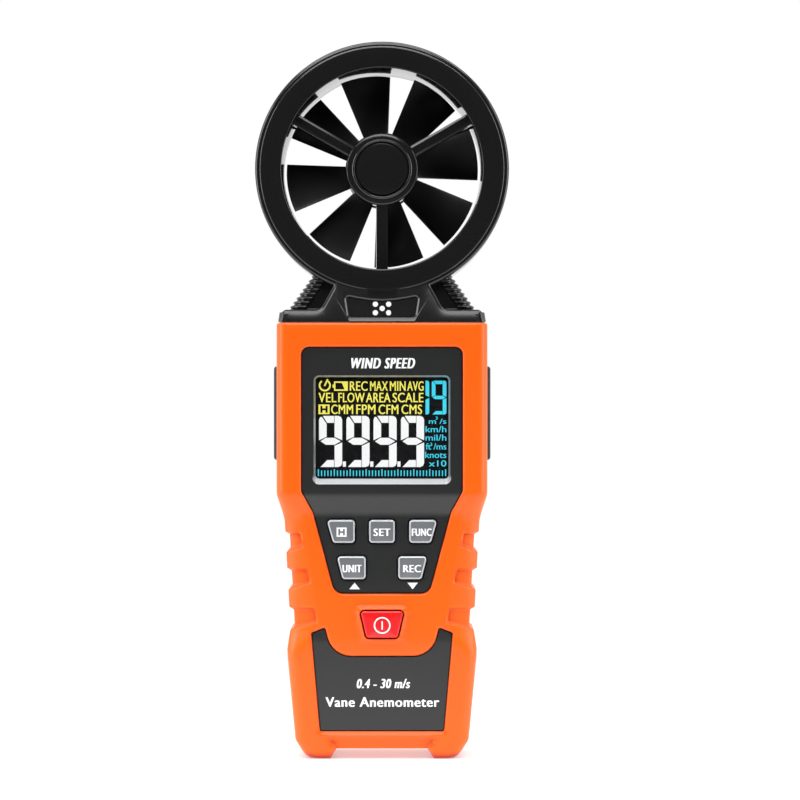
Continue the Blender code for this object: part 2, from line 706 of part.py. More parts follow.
def pick_up():
    """The sensor that counts the magnet's passes, its lead, and the temperature bead in the neck."""
    board = block((-2, 2), (6.6, 8.1), (AXIS_Z - 7.4, AXIS_Z - 4.4))
    node("vane_sensor", board, material("sensor", (0.02, 0.02, 0.022), 0.5))
    route = [(0, 6.8, AXIS_Z - 7.75), (0, 6.7, AXIS_Z - 12), (0, 6.7, AXIS_Z - 20), (0, 6.7, AXIS_Z - 27)]
    route += [(0, 6.6, 121), (2.0, 6.4, 119.5), (4.4, 6.0, 118.2), (5.9, 5.6, 116.4), (6.2, 5.0, 113.5), (6.0, 4.6, 111)]
    route += [(4.0, 2.4, 108.5), (2.0, -1.5, 106.3), (0.6, -4.6, 105.2)]
    route.append((0, -6.85, 104.8))
    wire("sensor_lead", route, 0.55, material("lead", (0.02, 0.02, 0.02), 0.5))
    bead = [(0, 105.8), (0.6, 105.8), (0.6, 113.6), (1.1, 114.2), (1.2, 115.2), (0.8, 116.2), (0, 116.5)]
    shape = turned(bead, 10, closed=False)
    shape.transform(Matrix.Rotation(math.radians(90), 4, "X"))
    node("temperature_bead", moved(shape, *BEAD_PLACE), material("bead", (0.01, 0.01, 0.012), 0.3))


# ---------------------------------------------------------------- display, keys and board
def keys():
    """Each key's corners and face depth."""
    mirror = {"hold": HOLD_KEY, "unit": UNIT_KEY}
    other = {name: tuple((-x, z) for x, z in (c[1], c[0], c[3], c[2])) for name, c in mirror.items()}
    return {
        "hold_key": (HOLD_KEY, KEY_FACE),
        "set_key": (SET_KEY, KEY_FACE),
        "func_key": (other["hold"], KEY_FACE),
        "unit_key": (UNIT_KEY, KEY_FACE),
        "rec_key": (other["unit"], KEY_FACE),
        "power_key": (POWER_KEY, POWER_FACE),
    }


def make_keys():
    for name, (corners, face) in keys().items():
        cap = key_corners(corners)
        power = name == "power_key"
        top, under = (-11.0, -10.4) if power else (-12.5, -11.7)
        steps = [(KEY_FLANGE, under), (KEY_FLANGE, top), (0, top), (0, face + 0.5), (-0.45, face)]
        shape = skin([[(x, y, z) for x, z in rounded(moved_out(cap, grow), 3)] for grow, y in steps])
        x = sum(corner[0] for corner in corners) / 4
        z = sum(corner[1] for corner in corners) / 4
        shape = join(shape, moved(rod(PLUNGER_R, under - 0.4, PLUNGER_END, 12), x, 0, z))
        node(name, shape, red() if power else grey(), (x, face, z))


def key_mat():
    shape = block((-15.5, 15.5), MAT_Y, (30.2, 62.8))
    for corners, _ in keys().values():
        x = sum(corner[0] for corner in corners) / 4
        z = sum(corner[1] for corner in corners) / 4
        shape = cut(shape, moved(rod(PLUNGER_R + 0.7, -FAR, FAR, 12), x, 0, z))
    node("key_mat", shape, material("silicone", (0.35, 0.35, 0.36), 0.6))


def display():
    half, low, high = DISPLAY
    margin = LENS_MARGIN
    plate = block((-half - margin, half + margin), LENS_Y, (low - margin, high + margin))
    node("display_lens", plate, material("clear_acrylic", (0.9, 0.9, 0.92), 0.05))
    cell = block((-half - 1.6, half + 1.6), LCD_Y, (low - 1.6, high + 1.6))
    node("display_panel", cell, material("display_glass", (0.01, 0.01, 0.012), 0.1))
    guide = block((-half - 1.2, half + 1.2), LIGHT_Y, (low - 1.2, high + 1.2))
    node("back_light", guide, material("light_guide", (0.85, 0.86, 0.85), 0.4))


def board():
    half, low, high = BOARD
    shape = block((-half, half), BOARD_Y, (low, high))
    for hand in (-1, 1):
        shape = cut(shape, block((hand * 15.5, hand * 20), (-FAR, FAR), (63.0, 68.3)))
    node("main_board", shape, material("board_green", (0.02, 0.12, 0.04), 0.4))
    chip = block((-5, 5), (BOARD_Y[1] + GAP, -5.3), (78, 88))
    node("controller_chip", chip, material("chip", (0.015, 0.015, 0.016), 0.5))
    sounder = turned([(0, -6.9), (5.5, -6.9), (5.5, -3.9), (1.0, -3.9), (1.0, -4.6), (0, -4.6)], 20, closed=False)
    node("buzzer", moved(sounder, 8, 0, 97), black())


# ---------------------------------------------------------------- cells, contacts and door
def cells():
    """Three AAA cells side by side, the middle one upside down, each on a spring and a contact plate."""
    nub = 1.0
    for k, x in enumerate((-CELL_PITCH, 0.0, CELL_PITCH)):
        up = k != 1
        profile = [(0, 0), (CELL_R - 0.3, 0), (CELL_R, 0.3), (CELL_R, CELL_BODY - 0.4), (CELL_R - 0.5, CELL_BODY)]
        profile += [(1.9, CELL_BODY), (1.9, CELL_BODY + nub), (0, CELL_BODY + nub)]
        shape = turned(profile, 16, closed=False)
        shape.transform(Matrix.Rotation(math.radians(90 if up else -90), 4, "X"))
        start = 14.6 if up else 55.2
        finish = material("cell_wrap", (0.05, 0.06, 0.08), 0.35, 0.3)
        node(f"cell_{k + 1}", moved(shape, x, CELL_Y, start), finish)
        low, high = BAY_Z
        plate_z = (high - 1.0, high - GAP) if up else (low + GAP, low + 1.0)
        plate = block((x - 4.2, x + 4.2), (CELL_Y - 4.2, CELL_Y + 4.0), plate_z)
        node(f"cell_contact_{k + 1}", plate, steel())
        coil_low, coil_high = (low + 0.7, start - 0.7) if up else (start + 0.7, high - 0.7)
        turns, per_turn = 3, 8
        points = []
        for i in range(turns * per_turn + 1):
            share = i / (turns * per_turn)
            radius = 3.6 - 1.4 * (share if up else 1 - share)
            turn = 2 * math.pi * turns * share
            height = coil_low + (coil_high - coil_low) * share
            points.append((x + radius * math.cos(turn), CELL_Y + radius * math.sin(turn), height))
        wire(f"cell_spring_{k + 1}", points, 0.3, steel(), sides=0)


def battery_door():
    """The rear door. It tips out about two tabs under its lower edge, and a tongue holds its upper edge."""
    y0, y1 = DOOR_Y
    shape = prism(door_outline(0), y0, y1)
    low, high = BAY_Z
    for hand in (-1, 1):
        tab_x = [hand * x for x in DOOR_TAB_X]
        shape = join(shape, block(tab_x, (12.2, y0 + 0.6), (low + 0.7, low + 1.5)))
        shape = join(shape, block(tab_x, (12.2, 12.9), (low - 1.9, low + 1.5)))
    shape = join(shape, block((-4, 4), (11.9, y0 + 0.6), (high + 0.3, high + 1.2)))
    for k in range(3):
        z = DOOR_Z[1] - 4.5 - 1.6 * k
        shape = cut(shape, block((-6, 6), (y1 - 0.4, FAR), (z - 0.4, z + 0.4)))
    node("battery_door", shape, black(), (0, *DOOR_HINGE))


# ---------------------------------------------------------------- screws
def screw(name, x, z, seat, length):
    """A pan-head screw put in from the rear. seat is the y of the underside of its head."""
    profile = [
        (0, seat - length), (SCREW_R, seat - length + 1.2), (SCREW_R, seat), (SCREW_HEAD_R, seat),
        (SCREW_HEAD_R - 0.3, seat + 1.1), (0, seat + 1.1),
    ]
    shape = turned(profile, 12, closed=False)
    cross = [block((-0.2, 0.2), (seat + 0.6, FAR), (-1.1, 1.1)), block((-1.1, 1.1), (seat + 0.6, FAR), (-0.2, 0.2))]
    node(name, moved(cut(shape, join(*cross)), x, 0, z), steel())


def screws():
    for k, (x, z) in enumerate(CASE_SCREWS):
        seat, length = (8.3, 14.0) if k < 4 else (BAY_FLOOR[1] + GAP, 8.5)
        screw(f"case_screw_{k + 1}", x, z, seat, length)
    for k, (x, z) in enumerate(HEAD_SCREWS):
        screw(f"head_screw_{k + 1}", x, z, 10.3, 15.0)


def clear_scene():
    for leftover in list(bpy.data.objects):
        bpy.data.objects.remove(leftover)


def main():
    clear_scene()
    bumper_front()
    bumper_rear()
    body_front()
    body_rear()
    side_grips()
    head_front()
    head_rear()
    hub_cap()
    rotor()
    bearings()
    pick_up()
    make_keys()
    key_mat()
    display()
    board()
    cells()
    battery_door()
    screws()


main()
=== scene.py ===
"""The looks of a hand-held vane anemometer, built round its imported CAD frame.

Shapes are made in millimetres, in the frame's axes: +X to the right, -Y out of the display, +Z up. piece() turns
a finished shape into metres. The outer shells, the keys, the vane and the cells are remade here with their real
edges. The hidden CAD nodes stay, with better materials.
"""

import math

import bmesh
import bpy
from mathutils import Matrix, Vector


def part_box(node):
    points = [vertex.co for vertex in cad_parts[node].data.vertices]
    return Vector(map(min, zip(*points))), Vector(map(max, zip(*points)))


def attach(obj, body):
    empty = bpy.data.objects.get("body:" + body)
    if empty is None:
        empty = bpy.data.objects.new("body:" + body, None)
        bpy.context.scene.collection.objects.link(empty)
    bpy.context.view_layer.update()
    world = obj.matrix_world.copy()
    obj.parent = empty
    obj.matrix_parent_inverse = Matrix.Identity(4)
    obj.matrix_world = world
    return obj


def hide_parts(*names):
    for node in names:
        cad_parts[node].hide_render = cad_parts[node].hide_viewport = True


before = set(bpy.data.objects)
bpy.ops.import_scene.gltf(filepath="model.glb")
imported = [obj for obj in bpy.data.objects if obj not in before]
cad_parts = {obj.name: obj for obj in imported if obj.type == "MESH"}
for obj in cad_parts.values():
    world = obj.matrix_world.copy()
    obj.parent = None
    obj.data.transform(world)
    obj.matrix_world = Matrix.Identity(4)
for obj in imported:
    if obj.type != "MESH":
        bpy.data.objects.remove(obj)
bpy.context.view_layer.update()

MM = 0.001
FRONT, REAR = -1, 1
FAR = 60.0  # past the object's outside, where cutters end
GAP = 0.3  # between parts that meet
SEAM = 0.01  # how far each half stops short of the plane between them
SEAM_GROOVE = 0.22  # how deep and how wide to each side the line between the halves is


def extent(node):
    """A CAD node's lowest and highest corners, in millimetres."""
    return [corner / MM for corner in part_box(node)]


# ---------------------------------------------------------------- the CAD's driving dimensions
CASE_HALF = extent("bumper_front")[1].x
CASE_DEPTH = -extent("bumper_front")[0].y
CASE_TOP = extent("bumper_front")[1].z
RING_R = extent("head_front")[1].x
HEAD_TOP = extent("head_front")[1].z
AXIS_Z = HEAD_TOP - RING_R
NECK_DEPTH = extent("head_rear")[1].y
LCD_FACE = extent("display_panel")[0].y

# Height, half width, depth to the front, depth to the rear, and the width and depth of the front corner
CASE = (
    (0.0, 18.6, 12.6, 14.0, 2.8, 2.6),
    (1.0, 19.9, 13.0, 14.4, 2.8, 2.6),
    (4.6, 22.3, 13.3, 15.0, 3.2, 3.0),
    (27.5, 24.4, 15.0, 15.0, 3.6, 3.0),
    (30.2, 24.0, 15.2, 15.0, 5.5, 3.2),
    (33.2, 23.5, 15.2, 15.0, 7.8, 3.5),
    (61.0, 25.0, 15.2, 15.0, 5.6, 3.5),
    (62.7, 25.4, 15.2, 15.1, 5.0, 3.5),
    (67.7, CASE_HALF, CASE_DEPTH, 17.0, 3.0, 3.0),
    (CASE_TOP, CASE_HALF, CASE_DEPTH, 17.0, 3.0, 3.0),
)
REAR_CORNER = 3.5
SOFTEN = 0.6  # the height to each side over which the case's creases are softened
EDGE = 0.7  # the bumper's rounding at its top and bottom
BUMPER = 1.8
SHELL_INSET = BUMPER + GAP
SHELL_BOTTOM = 4.6
WALL = 1.8
PANEL_INSET = 0.6
PANEL_GAP = 0.26
PANEL_FACE = -CASE_DEPTH + PANEL_INSET

# How far apart the case's rows are up to each height, closest where the surface has detail
ROWS = ((EDGE, 0.14), (8.0, 0.33), (28.0, 2.0), (62.0, 0.36), (70.0, 0.8), (CASE_TOP - EDGE, 2.0), (FAR * 2, 0.14))

# Grip grooves: the floor's lower and upper edge at the inner end, and how far out they start
GROOVES = ((35.6, 38.2, 17.3), (45.6, 48.2, 19.1), (54.9, 57.5, 21.0))
GROOVE_DEPTH = 1.15
GROOVE_FALL = math.tan(math.radians(15))
GROOVE_EDGE = 0.7  # the width of the upper edge
GROOVE_CHAMFER = 1.1  # the width of the lower edge
GROOVE_SLANT = 0.2
GROOVE_END, GROOVE_END_WIDTH = 0.4, 0.5
REAR_GROOVES_FROM = 21.2

# The notch between the feet, and the bar over it with its creases and its sill under the lower panel
FOOT_NOTCH = ((11.7, 2.5), (13.9, -1.0))
NOTCH_FLARE = (1.1, 0.45)
CREASE_HALF, CREASE_Z, CREASE_SLOPE, CREASE_WIDTH = 12.2, 2.7, 0.95, 0.9
BAR_TOP, BAR_LEAN, BAR_DEPTH = 6.0, 2.0, 1.0
SILL_DEPTH, SILL_RISE, SILL_HALF, SILL_FADE = 0.65, 1.0, 16.6, 0.8
SILL_BEHIND = 8.0  # it goes on to here, behind the panel's lower edge

UPPER_PANEL = ((20.65, 105.5, 2.0), (20.65, 68.6, 1.2), (17.7, 63.3, 1.2), (12.1, 42.4, 2.8))
LOWER_PANEL = ((12.7, 26.4, 6.2), (14.6, 33.7, 0.5), (18.1, 32.3, 0.5), (15.9, 7.0, 0.5))
WINDOW_EDGE = 0.7
DISPLAY = ((17.0, 97.8, 0.9), (17.0, 71.9, 0.9), (-17.0, 71.9, 0.9), (-17.0, 97.8, 0.9))

HOLD_KEY = ((-14.2, 61.3), (-6.95, 61.3), (-6.95, 55.4), (-12.5, 55.4))
SET_KEY = ((-3.3, 61.3), (3.3, 61.3), (3.3, 55.4), (-3.3, 55.4))
UNIT_KEY = ((-11.6, 52.0), (-4.15, 52.0), (-4.15, 46.1), (-10.1, 46.1))
POWER_KEY = ((-5.6, 38.0), (5.6, 38.0), (4.0, 31.1), (-4.0, 31.1))
KEY_CORNER = 0.9
KEY_RIM = (0.55, 0.5)  # how wide and how deep the rounding of a key's edge is
KEY_CLEARANCE = 0.25
KEY_BACK = -11.5
KEY_FACE, POWER_FACE = -15.9, -16.3
KEY_CROWN = 0.2
SURROUND_TOP, SURROUND_SLOPE, SURROUND_RISE = 0.45, 1.0, 0.85  # the raised border round the power key
MARK = 0.05  # the thickness of printed and lit marks
LIFT = 0.02  # how far lit marks stand off the display, and printed ones are sunk in a key

DUCT_R = 26.0
THROAT_R = 25.45  # the duct at the seam, where it is narrowest
DUCT_DRAFT = 0.35  # how much wider it is at its ends
RING_HALF = 14.0
HUB_R = 9.4
HUB_FACE = 11.2
SPOKE_HALF = 1.45
SPOKE_Y = (10.2, 5.8)  # the outer and inner faces, from the seam
SPOKE_ANGLES = (30, 150, 270)
NECK_BOTTOM = CASE_TOP + GAP

BLADES = 8
BLADE_REST = 10.3  # the first blade's angle at rest
TIP_R = 24.9
ROTOR_HUB_R = 8.6
ROTOR_HALF = 5.0
BLADE_HALF_LENGTH = 4.15
BLADE_HALF_THICK = 0.45
BLADE_HALF_ANGLE = (21.0, 15.1)  # at the hub and at the tip


# ---------------------------------------------------------------- shapes, as bmeshes in millimetres
def skin(rings):
    """A solid through rings of points that all have the same count."""
    shape = bmesh.new()
    made = [[shape.verts.new(point) for point in ring] for ring in rings]
    for low, high in zip(made, made[1:]):
        for i in range(len(low)):
            j = (i + 1) % len(low)
            shape.faces.new((low[i], low[j], high[j], high[i]))
    shape.faces.new(made[0][::-1])
    shape.faces.new(made[-1])
    bmesh.ops.recalc_face_normals(shape, faces=shape.faces)
    return shape


def faceted(rings):
    """A solid in triangles, for rings that bend."""
    shape = skin(rings)
    bmesh.ops.triangulate(shape, faces=shape.faces)
    return shape


def prism(outline, y0, y1):
    return skin([[(x, y, z) for x, z in outline] for y in (y0, y1)])


def block(xs, ys, zs):
    (x0, x1), (z0, z1) = sorted(xs), sorted(zs)
    return prism([(x0, z0), (x1, z0), (x1, z1), (x0, z1)], *sorted(ys))


def turned(profile, steps, closed=True):
    """A profile of (radius, y) points turned round Y. One that isn't closed starts and ends on the axis."""
    shape = bmesh.new()
    points = [shape.verts.new((radius, y, 0)) for radius, y in profile]
    pairs = list(zip(points, points[1:])) + ([(points[-1], points[0])] if closed else [])
    edges = [shape.edges.new(pair) for pair in pairs]
    turn = {"cent": (0, 0, 0), "axis": (0, 1, 0), "angle": 2 * math.pi}
    bmesh.ops.spin(shape, geom=points + edges, steps=steps, use_merge=True, **turn)
    bmesh.ops.remove_doubles(shape, verts=shape.verts, dist=1e-4)
    bmesh.ops.recalc_face_normals(shape, faces=shape.faces)
    return shape


def rod(radius, y0, y1, steps):
    return turned([(0, y0), (radius, y0), (radius, y1), (0, y1)], steps, closed=False)


def moved(shape, x=0.0, y=0.0, z=0.0):
    shape.transform(Matrix.Translation((x, y, z)))
    return shape


def spun(shape, angle, axis="Y"):
    shape.transform(Matrix.Rotation(math.radians(angle), 4, axis))
    return shape


def together(shapes):
    """Separate bodies in one shape, with nothing joined."""
    made = bmesh.new()
    for shape in shapes:
        mesh = bpy.data.meshes.new("temporary")
        shape.to_mesh(mesh)
        made.from_mesh(mesh)
        shape.free()
        bpy.data.meshes.remove(mesh)
    return made


def placed(name, data):
    made = bpy.data.objects.new(name, data)
    bpy.context.scene.collection.objects.link(made)
    return made


def temporary(shape):
    mesh = bpy.data.meshes.new("temporary")
    shape.to_mesh(mesh)
    shape.free()
    return placed("temporary", mesh)


def evaluated(made, leftovers):
    """The shape that a temporary object's modifiers give. The leftovers are then removed."""
    graph = bpy.context.evaluated_depsgraph_get()
    result = bmesh.new()
    result.from_mesh(made.evaluated_get(graph).to_mesh())
    for leftover in leftovers:
        mesh = leftover.data
        bpy.data.objects.remove(leftover)
        bpy.data.meshes.remove(mesh)
    return result


def boolean(shape, tool, operation):
    pair = [temporary(shape), temporary(tool)]
    modifier = pair[0].modifiers.new("boolean", "BOOLEAN")
    modifier.operation = operation
    modifier.solver = "MANIFOLD"
    modifier.object = pair[1]
    return evaluated(pair[0], pair)


def cut(shape, *tools):
    for tool in tools:
        shape = boolean(shape, tool, "DIFFERENCE")
    return shape


def join(shape, *tools):
    for tool in tools:
        shape = boolean(shape, tool, "UNION")
    return shape


def shared(shape, tool):
    return boolean(shape, tool, "INTERSECT")


def bevelled(shape, width, segments):
    made = temporary(shape)
    modifier = made.modifiers.new("bevel", "BEVEL")
    modifier.width = width
    modifier.segments = segments
    modifier.limit_method = "ANGLE"
    modifier.angle_limit = math.radians(35)
    return evaluated(made, [made])


# ---------------------------------------------------------------- outlines in the XZ plane
def mirrored(right_half):
    return list(right_half) + [(-x, z, radius) for x, z, radius in reversed(right_half)]


def traced(corners, steps=6, spacing=1.5):
    """Points round a clockwise polygon of (x, z, radius) corners, each with its outward normal."""
    arcs = []
    count = len(corners)
    for i, (x, z, radius) in enumerate(corners):
        here = Vector((x, z))
        into = (here - Vector(corners[i - 1][:2])).normalized()
        away = (Vector(corners[(i + 1) % count][:2]) - here).normalized()
        turning = into.x * away.y - into.y * away.x
        hand = 1 if turning < 0 else -1
        half_turn = max(into.angle(away), 1e-4) / 2
        normal = Vector((-into.y, into.x))
        start = here - into * (radius * math.tan(half_turn))
        centre = start - normal * (radius * hand)
        arc = []
        for k in range(steps + 1):
            direction = Matrix.Rotation(-hand * 2 * half_turn * k / steps, 2) @ normal
            arc.append((centre + direction * (radius * hand), direction))
        arcs.append(arc)
    made = []
    for i, arc in enumerate(arcs):
        made += arc
        (start, normal), (end, _) = arc[-1], arcs[(i + 1) % count][0]
        pieces = max(1, round((end - start).length / spacing))
        made += [(start.lerp(end, k / pieces), normal) for k in range(1, pieces)]
    return made


def offset(trace, grow=0.0):
    return [tuple(point + normal * grow) for point, normal in trace]


def rounding(wide, deep, steps):
    """A quarter turn from a wall to a face, as (how far in from the wall, how far below the face)."""
    turns = [math.pi / 2 * k / steps for k in range(steps + 1)]
    return [(wide * (1 - math.cos(turn)), deep * (1 - math.sin(turn))) for turn in turns]


def key_trace(corners, steps=6):
    return traced([(x, z, KEY_CORNER) for x, z in corners], steps, spacing=1.0)


def key_hole(corners):
    return [(point + normal * KEY_CLEARANCE, normal) for point, normal in key_trace(corners)]


# ---------------------------------------------------------------- the case's surface
def clamped(value):
    return min(max(value, 0.0), 1.0)


def smooth(value):
    value = clamped(value)
    return value * value * (3 - 2 * value)


def station(z, soften):
    """The case's measures at a height, with the creases between its straight stretches softened."""
    samples = 9
    total = [0.0] * 5
    for k in range(samples):
        at = z + soften * (2 * k / (samples - 1) - 1)
        at = min(max(at, CASE[0][0]), CASE[-1][0])
        low, high = next(pair for pair in zip(CASE, CASE[1:]) if at <= pair[1][0])
        share = (at - low[0]) / (high[0] - low[0])
        for i in range(5):
            total[i] += (low[i + 1] + (high[i + 1] - low[i + 1]) * share) / samples
    return total


def measures(z, side, inset, soften):
    """Half the width, the depth, the corner's width and depth, and how flat the corner is, from 1 for round."""
    narrow, widening, flattest, least = 3.2, 4.6, 0.6, 0.5
    width, front, rear, across, deep = station(z, soften)
    if side == REAR:
        across, deep = REAR_CORNER, REAR_CORNER
    depth = (front if side == FRONT else rear) - inset
    flat = 1 + flattest * clamped((across - narrow) / widening)
    return width - inset, depth, max(across - inset, least), max(deep - inset, least), flat


def columns(fine):
    """Where the points of a section lie: on its wall, round its corner and across its face."""
    corner_steps, face_steps = (20, 44) if fine else (6, 6)
    outer = [("seam", 0)] + [("wall", k / 6) for k in range(6)]
    outer += [("corner", k / corner_steps) for k in range(corner_steps)]
    face = [("face", 1 - 2 * k / face_steps) for k in range(face_steps + 1)]
    return [(kind, place, 1) for kind, place in outer + face] + [(kind, place, -1) for kind, place in outer[::-1]]


def section_point(z, side, kind, place, hand, inset, soften):
    width, depth, across, deep, flat = measures(z, side, inset, soften)
    if kind == "seam":
        return (width - SEAM_GROOVE) * hand, SEAM * side
    if kind == "wall":
        return width * hand, (SEAM_GROOVE + (depth - deep - SEAM_GROOVE) * place) * side
    if kind == "corner":
        turn = place * math.pi / 2
        x = width - across + across * math.cos(turn) ** flat
        return x * hand, (depth - deep + deep * math.sin(turn) ** flat) * side
    return (width - across) * place, depth * side


def grip_dent(x, z, side):
    """How deep the grip grooves are at a place. On the rear they end short of the door."""
    for low, high, inner in GROOVES:
        floor = low - GROOVE_FALL * max(abs(x) - inner, 0)
        end = REAR_GROOVES_FROM if side == REAR else inner + GROOVE_SLANT * (z - (low + high) / 2)
        share = smooth((high + GROOVE_EDGE - z) / GROOVE_EDGE)
        share *= smooth((z - floor + GROOVE_CHAMFER) / GROOVE_CHAMFER)
        share *= smooth((abs(x) - end + GROOVE_END) / GROOVE_END_WIDTH)
        if share > 0:
            return GROOVE_DEPTH * share
    return 0.0


def foot_dent(x, z):
    """The bar leans back between its diagonal creases, and over it a sill slopes in to the lower panel."""
    crease = CREASE_HALF + (z - CREASE_Z) * CREASE_SLOPE
    lean = smooth((crease - abs(x)) / CREASE_WIDTH) * smooth((BAR_TOP - z) / BAR_LEAN)
    sill = smooth((SILL_HALF - abs(x)) / SILL_FADE) * clamped((z - BAR_TOP) / SILL_RISE)
    return SILL_DEPTH * sill + BAR_DEPTH * lean


def surround_rise(x, z):
    """The soft raised border round the power key."""
    top, bottom = POWER_KEY[1], POWER_KEY[2]
    share = clamped((z - bottom[1]) / (top[1] - bottom[1]))
    half = bottom[0] + (top[0] - bottom[0]) * share
    across, along = abs(x) - half, max(z - top[1], bottom[1] - z)
    outside = math.hypot(max(across, 0), max(along, 0))
    return SURROUND_RISE * (1 - smooth((outside - SURROUND_TOP) / SURROUND_SLOPE))


def face_inset(x, z, side):
    """How far the bumper's outer surface lies inside the case's at a place."""
    inset = grip_dent(x, z, side)
    if side == FRONT:
        inset -= surround_rise(x, z)
        if z < SILL_BEHIND:
            inset += foot_dent(x, z)
    for past in (z - (CASE_TOP - EDGE), EDGE - z):
        if past > 0:
            inset += EDGE - math.sqrt(max(EDGE * EDGE - past * past, 0))
    return inset


def heights(low, high):
    made = [low]
    for top, step in ROWS:
        while made[-1] < min(top, high) - 1e-6:
            made.append(min(made[-1] + step, top, high))
    return made


def case_half(side, inset=0.0, low=0.0, high=CASE_TOP, detailed=False, soften=SOFTEN):
    """One half of the case as a solid. A detailed one has the bumper's grooves, border and rounded ends."""
    places = columns(detailed)
    rings = []
    for z in heights(low, high):
        ring = []
        for kind, place, hand in places:
            x, y = section_point(z, side, kind, place, hand, inset, soften)
            if detailed:
                extra = face_inset(x, z, side)
                x, y = section_point(z, side, kind, place, hand, inset + extra, soften)
            ring.append((x, y, z))
        rings.append(ring)
    return skin(rings)


def surface_y(x, z, side, inset):
    """The y of the case's face or corner at a place."""
    width, depth, across, deep, flat = measures(z, side, inset, SOFTEN)
    past = (abs(x) - (width - across)) / across
    if past <= 0:
        return depth * side
    turn = math.acos(min(past, 1.0) ** (1 / flat))
    return (depth - deep + deep * math.sin(turn) ** flat) * side


def opening(trace, side, radius, inset=0.0, floor=5.0, rise=0.0):
    """A cutter for a hole with a rounded rim that follows the case's surface, or stands proud of it."""
    outside = -4.0
    rings = [[(x, floor * side, z) for x, z in offset(trace)]]
    rim = [(grow, drop - rise) for grow, drop in rounding(radius, radius, 4)]
    for grow, drop in rim + [(radius, outside)]:
        rings.append([(x, surface_y(x, z, side, inset) - drop * side, z) for x, z in offset(trace, grow)])
    return faceted(rings)


# ---------------------------------------------------------------- materials
def shader_nodes(name):
    made = bpy.data.materials.new(name)
    made.use_nodes = True
    return made, made.node_tree.nodes, made.node_tree.nodes["Principled BSDF"]


def link(source, socket):
    """Links an input to an output, or to the first output in use of a node."""
    if isinstance(source, bpy.types.Node):
        source = next(output for output in source.outputs if output.enabled)
    socket.id_data.links.new(source, socket)


def chained(node, *sources):
    """A node whose inputs are linked in their own order."""
    for source, socket in zip(sources, node.inputs):
        link(source, socket)
    return node


def fed(node, **inputs):
    """A node with some of its inputs set, or linked where what they get is a node or an output."""
    for name, value in inputs.items():
        socket = node.inputs[name.replace("_", " ")]
        if isinstance(value, (bpy.types.Node, bpy.types.NodeSocket)):
            link(value, socket)
        else:
            socket.default_value = value
    return node


def added(nodes, kind, **inputs):
    """A new node, fed. A mix is one of colours."""
    node = nodes.new("ShaderNode" + kind)
    if kind == "Mix":
        node.data_type = "RGBA"
    return fed(node, **inputs)


def ramped(nodes, source, reach, values=(0.0, 1.0)):
    """A value that goes between two values while its source goes through a reach."""
    (low, high), (first, last) = reach, values
    return added(nodes, "MapRange", Value=source, From_Min=low, From_Max=high, To_Min=first, To_Max=last)


def blended(nodes, factor, first, second):
    return chained(nodes.new("ShaderNodeMixShader"), factor, first, second)


def scaled(colour, share):
    """A socket's colour, darkened or lightened."""
    return (*[min(c * share, 1) for c in colour], 1)


def moulded(name, colour, roughness, grain=0.3, relief=0.006, mottle=0.04, gloss_spread=0.06, deep=None, **settings):
    """Moulded plastic or rubber: a fine grain in millimetres, a faint cloudiness and uneven gloss.

    deep is a painted shade colour: an ambient occlusion node mixes the base colour towards it in hollows and creases,
    near other surfaces.
    """
    made, nodes, shader = shader_nodes(name)
    place = nodes.new("ShaderNodeTexCoord").outputs["Object"]
    fine = added(nodes, "TexNoise", Vector=place, Scale=1 / (grain * MM), Detail=3)
    broad = added(nodes, "TexNoise", Vector=place, Scale=90, Detail=4)
    surface = added(nodes, "Mix", Factor=broad, A=scaled(colour, 1 - mottle), B=scaled(colour, 1 + mottle))
    # Painted shade: the colour darkens towards deep where ambient occlusion finds other surfaces within 2 mm.
    if deep:
        hollow = added(nodes, "AmbientOcclusion", Distance=2.0 * MM)
        hollow.samples = 8
        unshaded_share = ramped(nodes, hollow.outputs["AO"], (0.45, 0.98))
        surface = added(nodes, "Mix", Factor=unshaded_share, A=(*deep, 1), B=surface)
    gloss = ramped(nodes, fine, (0, 1), (roughness - gloss_spread, roughness + gloss_spread))
    bump = added(nodes, "Bump", Height=fine, Distance=relief * MM)
    fed(shader, Base_Color=surface, Roughness=gloss, Normal=bump, **settings)
    return made


def glowing(name, colour, strength):
    """A lit display mark, a little uneven like the print over a back light."""
    made, nodes, shader = shader_nodes(name)
    noise = added(nodes, "TexNoise", Vector=nodes.new("ShaderNodeTexCoord").outputs["Object"], Scale=700)
    tint = added(nodes, "Mix", Factor=noise, A=scaled(colour, 0.9), B=scaled(colour, 1))
    fed(shader, Base_Color=scaled(colour, 0.15), Emission_Color=tint, Emission_Strength=strength, Roughness=0.5)
    return made


def clear_lens():
    """Clear acrylic: see-through, with a reflection on its outer side that grows towards the edge of view."""
    made, nodes, shader = shader_nodes("clear_lens")
    fed(shader, Base_Color=(0.02, 0.02, 0.02, 1), Roughness=0.08)
    outside = nodes.new("ShaderNodeMath")
    outside.operation = "SUBTRACT"
    outside.use_clamp = True
    back = nodes.new("ShaderNodeNewGeometry").outputs["Backfacing"]
    chained(outside, added(nodes, "Fresnel", IOR=1.45), back)
    clear = nodes.new("ShaderNodeBsdfTransparent")
    fed(nodes["Material Output"], Surface=blended(nodes, outside, clear, shader))
    return made


